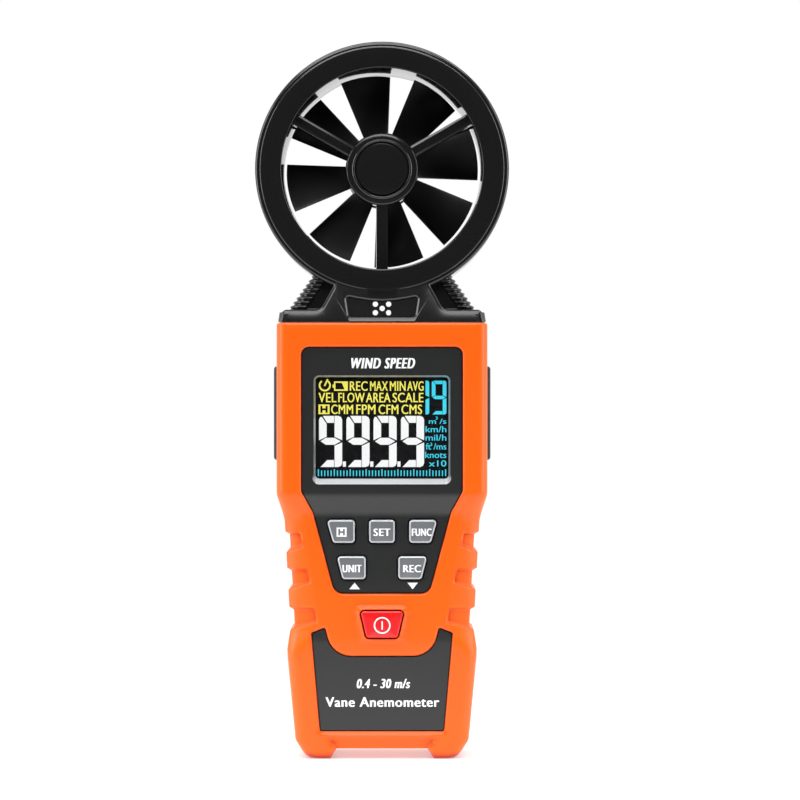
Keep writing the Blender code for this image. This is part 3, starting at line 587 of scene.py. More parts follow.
def make_materials():
    """Each one's colour, roughness, grain, relief, mottle and spread of gloss, as far as it isn't the usual."""
    # deep is the orange's painted shade colour, which ambient occlusion puts into its hollows, creases and window
    # edges.
    orange, deep = (0.80, 0.106, 0.003), (0.42, 0.022, 0.002)
    return {
        "orange": moulded("bumper_orange", orange, 0.33, 0.35, 0.003, 0.02, 0.04, deep, Specular_IOR_Level=0.3),
        "case": moulded("case_black", (0.0115, 0.012, 0.0125), 0.36, 0.22, 0.012, 0.1),
        "head": moulded("head_black", (0.008, 0.008, 0.0085), 0.13, 0.3, 0.001, 0.08, 0.03),
        "grip": moulded("grip_black", (0.014, 0.014, 0.015), 0.6, 0.3, 0.014, 0.1),
        "blade": moulded("blade_black", (0.011, 0.011, 0.0117), 0.3, 0.5, 0.002, 0.1, 0.03, Specular_IOR_Level=0.3),
        "key": moulded("key_grey", (0.155, 0.165, 0.175), 0.3, 0.12, 0.005, 0.12, 0.06, Metallic=0.2),
        # A lighter, half-metallic grey for the sloping facets round the display's opening in the black case: a
        # painted highlight, besides the lamps' real reflection.
        "bevel_highlight": moulded("bevel_painted_highlight", (0.3, 0.31, 0.32), 0.3, 0.2, 0.003, 0.08, 0.06, Metallic=0.5),
        # A lighter copy of the key grey for the keys' sloping rims: a painted highlight.
        "painted_rim_highlight": moulded("key_rim_painted_highlight", (0.46, 0.48, 0.5), 0.3, 0.12, 0.004, 0.06, 0.05, Metallic=0.2),
        "red": moulded("key_red", (0.65, 0.009, 0.011), 0.25, 0.3, 0.003, 0.03, 0.03),
        "print": moulded("legend_white", (0.86, 0.87, 0.88), 0.5, 0.2, 0.002, 0.02),
        "lcd": moulded("display_black", (0.006, 0.006, 0.007), 0.2, 0.4, 0.001, 0.1, 0.03),
        "white": glowing("lit_white", (0.95, 0.96, 0.96), 0.88),
        "yellow": glowing("lit_yellow", (0.86, 0.79, 0.11), 1.0),
        "cyan": glowing("lit_cyan", (0.04, 0.66, 0.84), 1.0),
        "lens": clear_lens(),
        "steel": moulded("zinc_steel", (0.55, 0.55, 0.56), 0.3, 0.15, 0.004, 0.08, 0.08, Metallic=1.0),
        "magnet": moulded("magnet_grey", (0.2, 0.2, 0.21), 0.35, 0.2, 0.004, 0.1, 0.05, Metallic=0.9),
        "guide": moulded("light_guide", (0.8, 0.82, 0.82), 0.35, 0.3, 0.003, 0.02),
        "board": moulded("solder_mask", (0.01, 0.09, 0.035), 0.3, 0.6, 0.01, 0.3),
        "chip": moulded("chip_black", (0.012, 0.012, 0.013), 0.5, 0.15, 0.006, 0.1),
        "silicone": moulded("silicone_grey", (0.3, 0.3, 0.31), 0.55, 0.4, 0.004, 0.04),
        "cell": moulded("cell_wrap", (0.025, 0.03, 0.045), 0.25, 0.4, 0.003, 0.1, 0.04, Metallic=0.4),
        "gold": moulded("cell_band", (0.62, 0.36, 0.12), 0.28, 0.4, 0.003, 0.06, 0.04, Metallic=0.8),
    }


finish = make_materials()


# ---------------------------------------------------------------- pieces
def piece(name, shape, material, body, slot, *nodes, sharp=30, weighted=False):
    """A finished shape as a piece that rides on a body and stands for some CAD nodes."""
    shape.transform(Matrix.Scale(MM, 4))
    mesh = bpy.data.meshes.new(name)
    shape.to_mesh(mesh)
    shape.free()
    mesh.materials.append(finish[material])
    mesh.shade_smooth()
    mesh.set_sharp_from_angle(angle=math.radians(sharp))
    made = placed(name, mesh)
    if weighted:
        modifier = made.modifiers.new("weighted_normal", "WEIGHTED_NORMAL")
        modifier.keep_sharp = True
    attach(made, body)
    if nodes:
        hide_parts(*nodes)
    return made


def notch():
    """The gap between the feet, whose sides and top are chamfered where they meet the outside."""
    (half, height), (foot, low) = FOOT_NOTCH
    rings = []
    for y, flare in ((-FAR, 1.0), (-13.6, 1.0), (-11.9, 0.0), (12.4, 0.0), (14.0, 1.0), (FAR, 1.0)):
        aside, rise = flare * NOTCH_FLARE[0], flare * NOTCH_FLARE[1]
        top, outer = half + aside, foot + aside
        rings.append([(-outer, y, low), (outer, y, low), (top, y, height + rise), (-top, y, height + rise)])
    return skin(rings)


def grip_pockets():
    inner, half, low, high = 23.5, 5.8, 76.4 - GAP, 100.7 + GAP
    return [block((hand * inner, hand * FAR), (-half, half), (low, high)) for hand in (-1, 1)]


def bumper_half(side):
    """A soft half, open at the top and towards the other half, with the notch and the grips' pockets."""
    core = case_half(side, BUMPER, SHELL_BOTTOM, CASE_TOP + 1)
    past_seam = block((-22, 22), (-1.0, 1.0), (SHELL_BOTTOM + 0.01, CASE_TOP + 0.9))
    return cut(case_half(side, detailed=True), join(core, past_seam), notch(), *grip_pockets())


def make_bumpers():
    windows = [opening(traced(mirrored(p)), FRONT, WINDOW_EDGE, floor=3.0) for p in (UPPER_PANEL, LOWER_PANEL)]
    windows.append(opening(key_hole(POWER_KEY), FRONT, 0.35, floor=3.0, rise=SURROUND_RISE))
    shape = cut(bumper_half(FRONT), together(windows))
    piece("bumper_front_skin", shape, "orange", "case", "bumper", "bumper_front", sharp=40)

    shape = cut(bumper_half(REAR), opening(traced(door_corners(GAP)), REAR, 0.4, floor=3.0))
    wells = [moved(rod(2.4, 5, FAR, 40), x, 0, z) for x, z in case_screw_places()]
    piece("bumper_rear_skin", cut(shape, together(wells)), "orange", "case", "bumper", "bumper_rear", sharp=40)


def middle(low, high):
    return [(a + b) / 2 for a, b in zip(low, high)]


def case_screw_places():
    """The four screws that show on the rear, from their CAD nodes."""
    middles = [middle(*extent(f"case_screw_{k}")) for k in range(1, 5)]
    return [(x, z) for x, _, z in middles]


def make_body_front():
    """The black panels: the display's surround, the key field and the lower panel, on the inner shell."""
    bottom, top = SHELL_BOTTOM + GAP, CASE_TOP - GAP
    shape = case_half(FRONT, SHELL_INSET, bottom, top)
    for corners in (UPPER_PANEL, LOWER_PANEL):
        face = case_half(FRONT, PANEL_INSET, bottom, top, soften=0.25)
        outline = offset(traced(mirrored(corners)), -PANEL_GAP)
        shape = join(shape, shared(prism(outline, -FAR, -9), face))
    hollow = block((-21, 21), (-10.5, 5), (bottom + WALL, top - WALL))
    cutters = [display_opening(), prism(offset(key_hole(POWER_KEY)), -FAR, -5)]
    for corners, _ in KEYS.values():
        if corners is not POWER_KEY:
            cutters.append(opening(key_hole(corners), FRONT, 0.3, PANEL_INSET))
    shape = cut(shape, hollow, together(cutters))
    made = piece("body_front_shell", shape, "case", "case", "case_black", "body_front", sharp=25, weighted=True)

    # The case's sloping facets round the display's opening take a lighter grey than the black: a painted highlight
    # where the bevel would catch the light.
    made.data.materials.append(finish["bevel_highlight"])
    (right, upper, _), (_, lower, _) = DISPLAY[:2]
    rim = 2
    for facet in made.data.polygons:
        x, y, z = facet.center / MM
        near = abs(x) < right + rim and lower - rim < z < upper + rim and y < PANEL_FACE + 1.1
        if near and 0.2 < abs(facet.normal.y) < 0.95:
            facet.material_index = 1


def display_opening():
    """The hole over the display, whose rim slopes outwards, most at the bottom."""
    least, most = 0.45, 1.5
    rings = []
    for share, depth in ((0, 8.4), (0, 1.15), (0.08, 1.05), (0.9, 0.2), (1.0, 0.0), (1.0, -3)):
        ring = []
        for point, normal in traced(DISPLAY, 8, 3.0):
            spread = least + (most - least) * max(-normal.y, 0)
            x, z = point + normal * spread * share
            ring.append((x, PANEL_FACE + depth, z))
        rings.append(ring)
    return skin(rings)


def opposite(corners):
    return tuple((-x, z) for x, z in (corners[1], corners[0], corners[3], corners[2]))


KEYS = {
    "hold_key": (HOLD_KEY, KEY_FACE),
    "set_key": (SET_KEY, KEY_FACE),
    "func_key": (opposite(HOLD_KEY), KEY_FACE),
    "unit_key": (UNIT_KEY, KEY_FACE),
    "rec_key": (opposite(UNIT_KEY), KEY_FACE),
    "power_key": (POWER_KEY, POWER_FACE),
}


def make_keys():
    """Domed keys with rounded rims. The grey ones' sloping rim facets get a lighter grey, a painted highlight."""
    wide, deep = KEY_RIM
    for name, (corners, face) in KEYS.items():
        trace = key_trace(corners, 8)
        rings = [[(x, KEY_BACK, z) for x, z in offset(trace)]]
        for grow, drop in rounding(wide, deep, 6):
            rings.append([(x, face + drop, z) for x, z in offset(trace, -grow)])
        middle_x, middle_z = (sum(corner[i] for corner in corners) / 4 for i in (0, 1))
        for share in (0.25, 0.5, 0.75, 0.97):
            shrunk = [(x + (middle_x - x) * share, z + (middle_z - z) * share) for x, z in offset(trace, -wide)]
            rings.append([(x, face - KEY_CROWN * (2 - share) * share, z) for x, z in shrunk])
        material, slot = ("red", "key_red") if name == "power_key" else ("key", "key_grey")
        made = piece(f"{name}_cap", skin(rings), material, name, slot, name, sharp=50)
        if material == "key":
            # The rim's sloping facets take the lighter grey: a painted highlight where the rounded edge would catch
            # the light.
            made.data.materials.append(finish["painted_rim_highlight"])
            for facet in made.data.polygons:
                facet.material_index = int(0.15 < abs(facet.normal.y) < 0.97)


# ---------------------------------------------------------------- lettering and display marks
def lettering(text, xs, zs, y, bold, slant=0.0, spacing=1.0):
    """Words in a heavy weight, as overlapping thin solids that fill a box on a plane that faces -Y."""
    shifts = (-bold, 0.0, bold) if bold > 0.1 else (-bold, bold)
    copies = []
    for k, shift in enumerate(shifts):
        span = (xs[0] + bold + shift, xs[1] - bold + shift)
        copies.append(light_lettering(text, span, zs, y - 0.004 * k, slant, spacing))
    return together(copies)


def light_lettering(text, xs, zs, y, slant, spacing):
    curve = bpy.data.curves.new("temporary", "FONT")
    curve.body = text
    curve.shear = slant
    curve.space_character = spacing
    curve.extrude = 0.01
    curve.resolution_u = 4
    source = placed("temporary", curve)
    graph = bpy.context.evaluated_depsgraph_get()
    shape = bmesh.new()
    shape.from_mesh(source.evaluated_get(graph).to_mesh())
    bpy.data.objects.remove(source)
    bpy.data.curves.remove(curve)
    low = [min(v.co[i] for v in shape.verts) for i in range(3)]
    high = [max(v.co[i] for v in shape.verts) for i in range(3)]
    for v in shape.verts:
        share = [(v.co[i] - low[i]) / (high[i] - low[i]) for i in range(3)]
        v.co = (xs[0] + (xs[1] - xs[0]) * share[0], y - 0.04 * share[2], zs[0] + (zs[1] - zs[0]) * share[1])
    bmesh.ops.remove_doubles(shape, verts=shape.verts, dist=1e-5)
    bmesh.ops.recalc_face_normals(shape, faces=shape.faces)
    return shape


def mark(outline, y):
    return prism(outline, y - MARK, y)


def strip(x0, x1, z0, z1, y):
    return block((x0, x1), (y - MARK, y), (z0, z1))


def annulus(x, z, outer, inner, y, gap=0.0):
    """A flat ring, with an opening of gap degrees at its top."""
    steps = 48
    if not gap:
        return moved(turned([(inner, y - MARK), (outer, y - MARK), (outer, y), (inner, y)], steps), x, 0, z)
    turns = [math.radians(90 + gap / 2 + (360 - gap) * k / steps) for k in range(steps + 1)]
    points = [(x + outer * math.cos(t), z + outer * math.sin(t)) for t in turns]
    points += [(x + inner * math.cos(t), z + inner * math.sin(t)) for t in reversed(turns)]
    return mark(points, y)


def boxed_h(xs, zs, y):
    """A filled square with an H left out of it, as six strips."""
    (x0, x1), (z0, z1) = xs, zs
    wide, tall = x1 - x0, z1 - z0
    shares = [(0, 1, 0.86, 1), (0, 1, 0, 0.14), (0, 0.17, 0.14, 0.86), (0.83, 1, 0.14, 0.86)]
    shares += [(0.36, 0.64, 0.6, 0.86), (0.36, 0.64, 0.14, 0.4)]
    return [strip(x0 + wide * a, x0 + wide * b, z0 + tall * c, z0 + tall * d, y) for a, b, c, d in shares]


def digit(left, low, wide, tall, stroke, lit, y, cap=None):
    """One seven-segment figure. Its right-hand strokes keep the outer corners, as on a custom glass."""
    cap = cap or stroke * 0.92
    gap = stroke * 0.07
    bend = stroke * 0.5
    blunt = bend * 0.3
    mid = tall * 0.503
    inner = wide - stroke
    half = cap / 2

    def right(end, turn):
        """A right-hand stroke from the figure's top or bottom end to its middle, with a blunt corner."""
        outer = [(inner, end), (wide - bend, end), (wide - blunt, end + turn * blunt), (wide, end + turn * bend)]
        return outer + [(wide, mid - turn * gap * 2), (inner, mid - turn * (half + gap * 2))]

    shapes = {
        "a": [(bend, tall), (inner - gap, tall), (inner - gap, tall - cap), (stroke + gap, tall - cap)],
        "b": right(tall, -1),
        "c": right(0, 1),
        "d": [(bend * 0.4, 0), (stroke * 1.08, cap), (inner - gap, cap), (inner - gap, 0)],
        "f": [
            (0, mid + gap * 2), (0, tall - bend), (blunt, tall - blunt), (bend * 0.75, tall - gap * 2),
            (stroke, tall - cap - gap * 2), (stroke, mid + half + gap * 2),
        ],
        "g": [
            (stroke * 0.2, mid), (stroke * 0.9, mid + half), (inner, mid + half),
            (wide - stroke * 0.2, mid), (inner, mid - half), (stroke * 0.9, mid - half),
        ],
    }
    return [mark([(left + x, low + z) for x, z in shapes[name]], y) for name in lit]


def display_words(y):
    """The yellow words over the figures, each with where it starts and ends."""
    tall = 2.45
    rows = (
        (94.3, (("REC", -8.27, -3.69), ("MAX", -3.07, 1.52), ("MIN", 2.0, 6.05), ("AVG", 6.43, 10.69))),
        (91.35, (("VEL", -16.28, -11.69), ("FLOW", -11.21, -4.41), ("AREA", -4.14, 2.19), ("SCALE", 2.68, 10.63))),
        (88.33, (("CMM", -13.04, -7.38), ("FPM", -6.62, -1.66), ("CFM", -0.91, 4.21), ("CMS", 4.97, 10.28))),
    )
    made = []
    for low, words in rows:
        made += [lettering(text, (x0, x1), (low, low + tall), y, 0.055, 0.0, 1.06) for text, x0, x1 in words]
    return made


def display_signs(y):
    """The boxed H, the switch-off sign and the battery sign."""
    made = boxed_h((-16.28, -13.45), (88.33, 90.8), y)
    made.append(annulus(-14.66, 95.7, 1.55, 1.12, y, gap=70))
    made.append(mark([(-14.95, 95.6), (-14.1, 97.35), (-13.75, 97.2), (-14.5, 95.5)], y))
    battery = [(-12.3, -8.75, 96.35, 96.72), (-12.3, -8.75, 94.3, 94.67), (-9.12, -8.75, 94.67, 96.35)]
    battery += [(-12.3, -11.93, 94.67, 96.35), (-12.66, -12.3, 95.1, 95.92)]
    made += [strip(*side, y) for side in battery]
    made.append(mark([(-10.3, 96.35), (-9.12, 96.35), (-9.12, 94.67), (-9.6, 94.67)], y))
    return made


def make_display():
    y = LCD_FACE - LIFT
    piece("display_words", together(display_signs(y) + display_words(y)), "yellow", "case", "display")

    white = []
    for left in (-16.14, -9.13, -2.18, 4.85):
        white += digit(left, 74.78, 5.93, 13.1, 1.95, "abcdfg", y, 1.78)
    white += [strip(left, left + 0.8, 74.85, 76.2, y) for left in (-10.05, -3.02, 3.93)]
    piece("display_digits", together(white), "white", "case", "display")

    cyan = digit(9.2, 88.25, 2.9, 8.65, 0.95, "bc", y) + digit(12.75, 88.25, 3.75, 8.65, 0.95, "abcdfg", y)
    units = (
        ("m /s", 12.0, 85.85, 1.3), ("km/h", 11.15, 83.68, 1.6), ("mil/h", 11.15, 81.53, 1.6),
        ("ft /ms", 11.2, 79.25, 1.6), ("knots", 11.05, 77.08, 1.6), ("x10", 12.0, 74.9, 1.6),
    )
    for text, left, low, tall in units:
        cyan.append(lettering(text, (left, 16.48), (low, low + tall), y, 0.02))
    for left, low in ((13.75, 86.9), (12.35, 80.2)):
        cyan.append(lettering("3", (left, left + 0.5), (low, low + 0.8), y, 0.03))
    ticks, first, half, low = 41, -16.3, 0.14, 72.45
    for k in range(ticks):
        x = first - 2 * first * k / (ticks - 1)
        cyan.append(strip(x - half, x + half, low, 74.2 if k % 5 == 0 else 73.9, y))
    piece("display_units", together(cyan), "cyan", "case", "display")


def make_legends():
    """The print on the keys and the panels."""
    y = KEY_FACE - KEY_CROWN + LIFT
    piece("hold_legend", together(boxed_h((-11.6, -9.05), (57.0, 59.35), y)), "print", "hold_key", "legend")
    words = (
        ("set", "SET", -2.2, 2.2, 57.2, 59.1), ("func", "FUNC", 7.6, 12.7, 57.2, 59.1),
        ("unit", "UNIT", -10.1, -5.2, 47.9, 49.8), ("rec", "REC", 5.4, 10.0, 47.9, 49.8),
    )
    for key, text, x0, x1, z0, z1 in words:
        shape = lettering(text, (x0, x1), (z0, z1), y, 0.1, 0.0, 1.12)
        piece(f"{key}_legend", shape, "print", f"{key}_key", "legend")
    y = POWER_FACE - KEY_CROWN + LIFT
    power = [annulus(0.05, 34.35, 2.15, 1.8, y), strip(-0.11, 0.21, 33.3, 35.4, y)]
    piece("power_legend", together(power), "print", "power_key", "legend")

    proud = 0.01
    y = surface_y(0, 45, FRONT, PANEL_INSET) - proud
    panel = [mark([(-8.35, 43.5), (-7.0, 45.2), (-5.65, 43.5)], y), mark([(6.5, 45.2), (7.85, 43.5), (9.2, 45.2)], y)]
    panel.append(lettering("WIND SPEED", (-7.9, 8.5), (100.0, 102.7), PANEL_FACE - proud, 0.15, 0.25, 1.2))
    lines = (("0.4 - 30 m/s", -6.5, 7.2, 18.1, 20.5, 0.2), ("Vane Anemometer", -14.5, 14.7, 13.3, 15.8, 0.0))
    for text, x0, x1, z0, z1, slant in lines:
        shape = lettering(text, (x0, x1), (z0, z1), 0, 0.11, slant, 1.1)
        for v in shape.verts:
            v.co.y += surface_y(0, v.co.z, FRONT, PANEL_INSET) - proud
        panel.append(shape)
    piece("panel_legends", together(panel), "print", "case", "legend")


# ---------------------------------------------------------------- the head
def arc_points(centre, radius, start, end, steps=6):
    """Points of an arc in the (radius, y) plane, with angles in degrees."""
    made = []
    for k in range(steps + 1):
        turn = math.radians(start + (end - start) * k / steps)
        made.append((centre[0] + radius * math.cos(turn), centre[1] + radius * math.sin(turn)))
    return made


def ring_solid(side):
    inner, lip, outer, step = 0.4, 0.55, 1.0, 0.5
    profile = [(THROAT_R, -1), (THROAT_R, 0)]
    profile += arc_points((THROAT_R + DUCT_DRAFT + inner, RING_HALF - inner), inner, 180, 90)
    profile += arc_points((RING_R - outer - 0.15 - lip, RING_HALF - lip), lip, 90, 0)
    profile += arc_points((RING_R - outer, RING_HALF - step - outer), outer, 90, 0, 8)
    profile += [(RING_R, SEAM_GROOVE), (RING_R - SEAM_GROOVE, SEAM), (RING_R - SEAM_GROOVE, -1)]
    return moved(turned([(r, y * side) for r, y in profile], 160), z=AXIS_Z)


def hub_solid(side):
    """A hub with a fine ridge round the seat of its cap."""
    seat, inside, edge = 10.4, 5.8, 0.9
    shoulder = HUB_FACE - 1.2
    profile = [(0, inside), (HUB_R, inside), (HUB_R, shoulder)] + arc_points((HUB_R - edge, shoulder), edge, 0, 70)
    profile += [(7.75, HUB_FACE - 0.28)] + arc_points((7.35, HUB_FACE - 0.32), 0.32, 60, 180)
    profile += [(7.0, seat), (0, seat)]
    return moved(turned([(r, y * side) for r, y in profile], 96, closed=False), z=AXIS_Z)


def spoke_solids(side):
    front, back = SPOKE_Y
    half, edge, slope = SPOKE_HALF, 0.55, 0.24
    section = [(-half - 0.15, back + 0.05), (-half, front - slope), (-half + edge, front)]
    section += [(-x, y) for x, y in reversed(section)]
    made = []
    for angle in SPOKE_ANGLES:
        bar = skin([[(along, y * side, across) for across, y in section] for along in (HUB_R - 0.8, DUCT_R + 0.5)])
        made.append(moved(spun(bar, -angle), z=AXIS_Z))
    return made


def neck_y(z):
    return NECK_DEPTH - 0.2 * (z - NECK_BOTTOM)


def neck_plate(side):
    """The smooth plate in front of the neck, with a rounded edge."""
    half = [(11.3, 127.5, 1.4), (12.6, 121.1, 3.0), (15.8, 115.1, 2.4), (25.5, 115.1, 1.3)]
    trace = traced(mirrored(half + [(26.8, NECK_BOTTOM - 3, 1.3)]), 8, 1.2)
    rings = [[(x, side * 2.0, z) for x, z in offset(trace)]]
    for grow, drop in rounding(1.0, 1.0, 5):
        rings.append([(x, side * (neck_y(z) - drop), z) for x, z in offset(trace, -grow)])
    return faceted(rings)


def vent_recess(side):
    """A shallow recess whose top edge follows the ring."""
    bottom, top, dip = 112.95, 118.7, 1.3
    places = [(-9.4 + 18.8 * k / 6, top - dip * math.sin(math.pi * k / 6)) for k in range(7)]
    arc = [(x, z, 0.8 if abs(x) > 9 else 3.0) for x, z in places]
    trace = traced(arc + [(8.5, bottom, 1.0), (-8.5, bottom, 1.0)], 4, 2.0)
    depth, edge = 0.7, 0.4
    rings = []
    for grow, drop in ((0, depth), (0, depth - edge), (edge, 0.0), (edge, -3.0)):
        rings.append([(x, side * (neck_y(z) - drop), z) for x, z in offset(trace, grow)])
    return faceted(rings)


def neck_core(side):
    """The base on top of the case and the ribbed corners above it, as one loft."""
    shoulder, top, row, corner = 115.4, 127, 0.14, 3.2
    rib_depth, rib_height = 0.95, 1.12
    quarter = [math.radians(15 * k) for k in range(7)]
    rings = []
    z = NECK_BOTTOM - 1
    while z <= top:
        above = z - shoulder
        if above < 0:
            lean = smooth((z - 114.3) / 1.1)
            wide, deep, rib = 26.7 - 0.15 * (z - NECK_BOTTOM) - 2.6 * lean, 15.0 - 3.6 * lean, 0.0
        else:
            wide, deep = 23.1 - above * 0.7, 10.9 - 0.12 * above
            rib = rib_depth * abs(math.sin(math.pi * above / rib_height)) ** 0.6
        outer, bulge = wide + rib, corner + rib
        outline = [(outer - SEAM_GROOVE, -1), (outer - SEAM_GROOVE, SEAM), (outer, SEAM_GROOVE)]
        outline += [(wide - corner + bulge * math.cos(t), deep - corner + bulge * math.sin(t)) for t in quarter]
        outline.append((wide - corner - 0.3, deep))
        outline += [(-x, y) for x, y in reversed(outline)]
        rings.append([(x, y * side, z) for x, y in outline])
        z += row
    return skin(rings)


def make_head():
    """Two halves: ring, spokes, hub and neck. The front neck has vent holes, the rear one a slot and screw wells."""
    bore = moved(rod(DUCT_R + 0.3, -FAR, FAR, 160), z=AXIS_Z)
    for side, name in ((FRONT, "head_front"), (REAR, "head_rear")):
        neck = cut(join(neck_core(side), neck_plate(side)), bore.copy(), vent_recess(side))
        neck = cut(neck, block((-8.5, 8.5), (-2 * side, 13.2 * side), (NECK_BOTTOM - 6, 117.4)))
        if side == FRONT:
            holes = [(-1.7, 116.5), (1.7, 116.5), (0.05, 115.4), (-1.7, 114.3), (1.7, 114.3)]
            drills = [moved(spun(rod(0.72, -FAR, -2, 8), 22.5), x, 0, z) for x, z in holes]
        else:
            drills = [block((-4.5, 4.5), (2, FAR), (113.9, 118.3))]
            drills += [moved(rod(2.3, 8, FAR, 40), x, 0, 117.0) for x in (-13.2, 13.2)]
        neck = cut(neck, together(drills))
        shape = join(ring_solid(side), neck, hub_solid(side), *spoke_solids(side))
        below = block((-FAR, FAR), (-FAR, FAR), (NECK_BOTTOM - 20, NECK_BOTTOM))
        shape = cut(shape, block((-FAR, FAR), (-FAR * side, SEAM * side), (90, 200)), below)
        piece(f"{name}_shell", shape, "head", "case", "head_black", name, sharp=35)
    bore.free()
    face, back = -HUB_FACE + 0.12, -10.5
    cap = [(0, face), (6.2, face), (6.55, face + 0.08), (6.75, back - 0.25), (6.8, back), (0, back)]
    piece("hub_disc", moved(turned(cap, 96, closed=False), z=AXIS_Z), "head", "case", "head_black", "hub_cap")


# ---------------------------------------------------------------- the vane
def blade():
    """A twisted blade with rounded edges whose middle points along +X."""
    spans, across = 14, 16
    rings = []
    for s in range(spans + 1):
        share = s / spans
        ring = []
        for k in range(2 * across):
            round_trip = math.pi * k / across
            part = math.cos(round_trip)
            thick = BLADE_HALF_THICK * math.copysign(abs(math.sin(round_trip)) ** 0.35, math.sin(round_trip))
            ends = []
            for radius, half_angle in zip((ROTOR_HUB_R - 0.5, TIP_R), BLADE_HALF_ANGLE):
                turn = math.radians(half_angle * part)
                y = thick - BLADE_HALF_LENGTH * part
                ends.append(Vector((radius * math.cos(turn), y, radius * math.sin(turn))))
            ring.append(ends[0].lerp(ends[1], share))
        rings.append(ring)
    return skin(rings)


def make_rotor():
    """The hub, bored for the shaft and with a ring-shaped pocket for the magnet, and its blades."""
    bore, edge = 1.05, 1.2
    inner, outer, pocket = 2.7, 5.3, 3.3
    profile = [(bore, -ROTOR_HALF), (ROTOR_HUB_R - edge, -ROTOR_HALF)]
    profile += arc_points((ROTOR_HUB_R - edge, edge - ROTOR_HALF), edge, -90, 0) + [(ROTOR_HUB_R, ROTOR_HALF)]
    profile += [(outer, ROTOR_HALF), (outer, pocket), (inner, pocket), (inner, ROTOR_HALF), (bore, ROTOR_HALF)]
    blades = [spun(blade(), -(BLADE_REST + 360 / BLADES * k)) for k in range(BLADES)]
    shape = join(turned(profile, 96), together(blades))
    piece("rotor_blades", moved(shape, z=AXIS_Z), "blade", "vane", "blade", "rotor", sharp=40)


# ---------------------------------------------------------------- grips, door, screws and cells
def make_grips():
    depth, half, end = 0.35, 0.35, 1.6
    for hand, name in ((-1, "left"), (1, "right")):
        low, high = extent(f"side_grip_{name}")
        inner, outer = sorted((abs(low.x), abs(high.x)))
        pad = block((hand * inner, hand * outer), (low.y, high.y), (low.z, high.z))
        grooves = []
        for k in range(5):
            z = low.z + (high.z - low.z) * (0.22 + 0.14 * k)
            xs, ys = (hand * (outer - depth), hand * FAR), (low.y + end, high.y - end)
            grooves.append(block(xs, ys, (z - half, z + half)))
        shape = bevelled(cut(bevelled(pad, 0.85, 5), together(grooves)), 0.12, 2)
        piece(f"grip_{name}", shape, "grip", "case", "grip", f"side_grip_{name}", sharp=40)


def door_corners(grow=0.0):
    low, high = extent("battery_door")
    half = high.x + grow
    top, bottom = high.z + grow, 9.0 - grow
    return [(half, top, 2.0), (half, bottom, 0.6), (-half, bottom, 0.6), (-half, top, 2.0)]


def make_door():
    """The battery door, with thumb grooves near its top, two hinge tabs below and the snap tongue above."""
    low, high = extent("battery_door")
    face, thick, inner = high.y, 1.5, high.y - 1.0
    trace = traced(door_corners(), 8, 3.0)
    rings = [[(x, face - thick, z) for x, z in offset(trace)]]
    for grow, drop in rounding(0.5, 0.5, 5):
        rings.append([(x, face - drop, z) for x, z in offset(trace, -grow)])
    grooves = []
    for k in range(5):
        z, half = high.z - 4.4 - 1.5 * k, 6.5 - 0.9 * k
        grooves.append(bevelled(block((-half, half), (face - 0.45, FAR), (z - 0.42, z + 0.42)), 0.15, 2))
    shape = cut(skin(rings), together(grooves))
    for hand in (-1, 1):
        xs = (hand * 4.0, hand * 7.0)
        shape = join(shape, join(block(xs, (12.2, 12.9), (low.z, 11.0)), block(xs, (12.2, inner), (10.2, 11.0))))
    shape = join(shape, block((-4, 4), (low.y, inner), (60.6, 61.5)))
    piece("battery_cover", shape, "case", "battery_door", "case_black", "battery_door", sharp=40)


def make_screws():
    """Pan-head screws with a cross recess, in place of the plain ones that show."""
    shank, head, edge = 1.0, 1.1, 0.7
    wide, narrow = (-1.2, 1.2), (-0.25, 0.25)
    for name in [f"case_screw_{k}" for k in range(1, 5)] + ["head_screw_1", "head_screw_2"]:
        low, high = extent(name)
        x, _, z = middle(low, high)
        top, radius = high.y, (high.x - low.x) / 2
        profile = [(0, low.y), (shank, low.y + 1.2), (shank, top - head), (radius, top - head)]
        profile += arc_points((radius - edge, top - edge), edge, 0, 90, 5) + [(0, top)]
        cross = join(*[block(xs, (top - edge, FAR), zs) for xs, zs in ((narrow, wide), (wide, narrow))])
        shape = cut(turned(profile, 32, closed=False), cross)
        piece(f"{name}_turned", moved(shape, x, 0, z), "steel", "case", "steel", name)


def make_cells():
    """Wrapped cells with a golden band and bare ends. The middle one stands on its head."""
    nub = 1.0
    for k in range(1, 4):
        low, high = extent(f"cell_{k}")
        x, y, _ = middle(low, high)
        radius, length = (high.x - low.x) / 2, high.z - low.z - nub
        profile = [(0, 0.15), (radius - 1.4, 0.15), (radius - 1.2, 0.0)]
        profile += arc_points((radius - 0.4, 0.4), 0.4, -90, 0) + arc_points((radius - 0.5, length - 0.5), 0.5, 0, 90)
        profile += [(radius - 1.5, length), (radius - 1.7, length - 0.3), (2.1, length - 0.3), (1.9, length)]
        profile += [(1.9, length + nub - 0.2), (1.7, length + nub), (0, length + nub)]
        up = k != 2
        shape = spun(turned(profile, 64, closed=False), 90 if up else -90, "X")
        shape = moved(shape, x, y, low.z if up else high.z)
        made = piece(f"cell_{k}_wrapped", shape, "cell", "case", "cell", f"cell_{k}")
        made.data.materials.append(finish["gold"])
        made.data.materials.append(finish["steel"])
        for facet in made.data.polygons:
            at = facet.center / MM
            along = at.z - low.z if up else high.z - at.z
            if math.hypot(at.x - x, at.y - y) < radius - 0.9:
                facet.material_index = 2
            elif along > length * 0.7:
                facet.material_index = 1


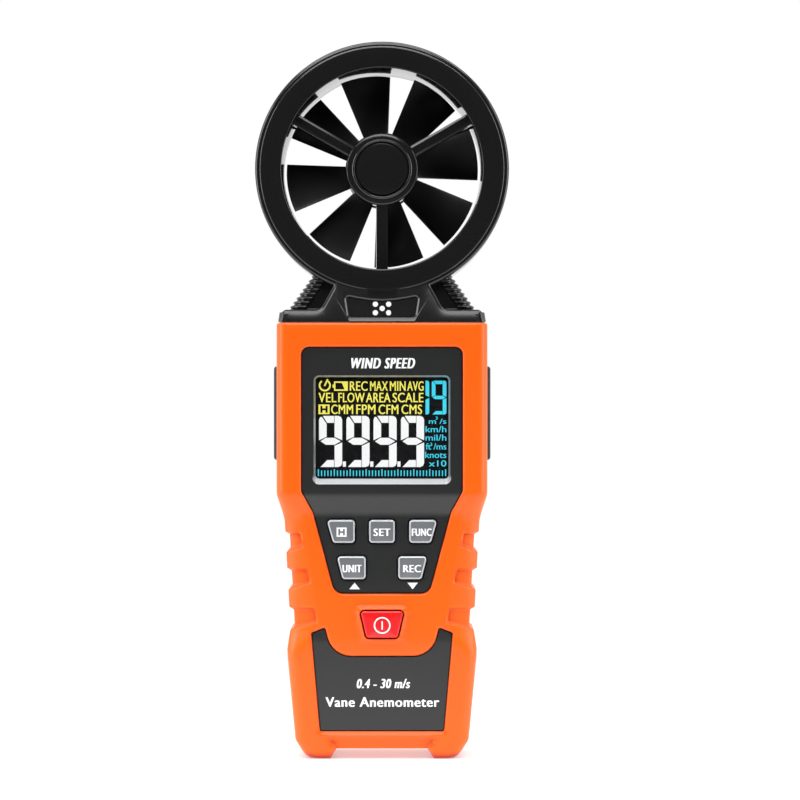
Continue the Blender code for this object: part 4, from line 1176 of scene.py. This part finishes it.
# ---------------------------------------------------------------- the nodes that stay
KEPT = {
    "steel": (
        "rotor_shaft", "front_bearing", "rear_bearing", "cell_contact_1", "cell_contact_2", "cell_contact_3",
        "cell_spring_1", "cell_spring_2", "cell_spring_3", "case_screw_5", "case_screw_6",
    ),
    "chip": ("vane_sensor", "sensor_lead", "temperature_bead", "controller_chip", "buzzer"),
    "case": ("body_rear",), "magnet": ("rotor_magnet",), "lcd": ("display_panel",), "guide": ("back_light",),
    "board": ("main_board",), "silicone": ("key_mat",), "lens": ("display_lens",),
}


def finish_kept_nodes():
    for material, names in KEPT.items():
        for name in names:
            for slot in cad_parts[name].material_slots:
                slot.material = finish[material]


# ---------------------------------------------------------------- the stage
def floor_material():
    """White acrylic. Near the object it takes its shade and mirrors it faintly, and further out it looks even.

    To other rays than the camera's it glows behind the object and is dark in front of it, like the world.
    """
    made, nodes, shader = shader_nodes("studio_floor")
    place = nodes.new("ShaderNodeTexCoord").outputs["Object"]
    length = nodes.new("ShaderNodeVectorMath")
    length.operation = "LENGTH"
    reach = chained(length, place).outputs["Value"]
    even = added(nodes, "Emission", Strength=1.05)
    paper = added(nodes, "BsdfDiffuse", Color=scaled((1, 1, 1), 0.97))
    mirror = added(nodes, "BsdfGlossy", Roughness=0.1)
    shade = ramped(nodes, reach, (0.06, 0.3), (0.62, 0.0))
    sheen = ramped(nodes, reach, (0.05, 0.2), (0.16, 0.0))
    seen = blended(nodes, sheen, blended(nodes, shade, even, paper), mirror)

    across = added(nodes, "SeparateXYZ", Vector=place).outputs["Y"]
    glow, behind = [ramped(nodes, across, (-0.3, -0.12), (0.0, most)) for most in (0.7, 1.0)]
    fed(shader, Base_Color=scaled((1, 1, 1), 0.6), Emission_Color=(1, 1, 1, 1), Emission_Strength=glow)
    dark = added(nodes, "BsdfDiffuse", Color=scaled((1, 1, 1), 0.08))
    camera = nodes.new("ShaderNodeLightPath").outputs["Is Camera Ray"]
    fed(nodes["Material Output"], Surface=blended(nodes, camera, blended(nodes, behind, dark, shader), seen))
    return made


def make_stage():
    reach, below = 3.0, 0.0001
    mesh = bpy.data.meshes.new("floor")
    corners = [(-reach, -reach, 0), (reach, -reach, 0), (reach, reach, 0), (-reach, reach, 0)]
    mesh.from_pydata(corners, [], [(0, 1, 2, 3)])
    mesh.materials.append(floor_material())
    floor = placed("floor", mesh)
    floor.location.z = -below


def make_world():
    """A white surround: pure white where it is seen, and brighter behind the object than in front of it."""
    world = bpy.data.worlds.new("studio")
    world.use_nodes = True
    nodes = world.node_tree.nodes
    nodes.clear()
    place = nodes.new("ShaderNodeTexCoord").outputs["Generated"]
    across = added(nodes, "SeparateXYZ", Vector=place).outputs["Y"]
    white = (1, 1, 1, 1)
    lit = added(nodes, "Background", Color=white, Strength=ramped(nodes, across, (-0.75, 0.3), (0.05, 1.0)))
    seen = added(nodes, "Background", Color=white, Strength=1.0)
    camera = nodes.new("ShaderNodeLightPath").outputs["Is Camera Ray"]
    added(nodes, "OutputWorld", Surface=blended(nodes, camera, lit, seen))
    bpy.context.scene.world = world


def soft_box(name, place, target, size, power):
    light = bpy.data.lights.new(name, "AREA")
    light.shape = "RECTANGLE"
    light.size, light.size_y = size
    light.energy = power
    made = placed(name, light)
    made.location = place
    made.rotation_euler = (Vector(target) - Vector(place)).to_track_quat("-Z", "Y").to_euler()


def make_lights():
    middle = (0, 0, 0.095)
    soft_box("key_box", (-0.1, -0.6, 0.75), middle, (0.7, 0.5), 6.5)
    soft_box("top_box", (0.0, -0.07, 0.95), middle, (1.3, 0.22), 8.5)
    soft_box("left_strip", (-0.72, -0.16, 0.2), middle, (0.3, 0.8), 4.0)
    soft_box("right_strip", (0.72, -0.16, 0.2), middle, (0.3, 0.8), 3.4)


def make_camera():
    """From a metre away, square on, level with the case's middle."""
    distance = 0.982
    picture = 0.2043  # the width that the view covers at the case's front
    data = bpy.data.cameras.new("camera")
    data.sensor_width = 36
    data.lens = data.sensor_width * distance / picture
    made = placed("camera", data)
    made.location = (0.00461, -CASE_DEPTH * MM - distance, 0.09195)
    made.rotation_euler = (math.pi / 2, 0, 0)
    bpy.context.scene.camera = made


make_camera()
make_world()
make_lights()
make_stage()
make_bumpers()
make_body_front()
make_keys()
make_display()
make_legends()
make_head()
make_rotor()
make_grips()
make_door()
make_screws()
make_cells()
finish_kept_nodes()
bpy.context.scene.view_settings.view_transform = "Standard"
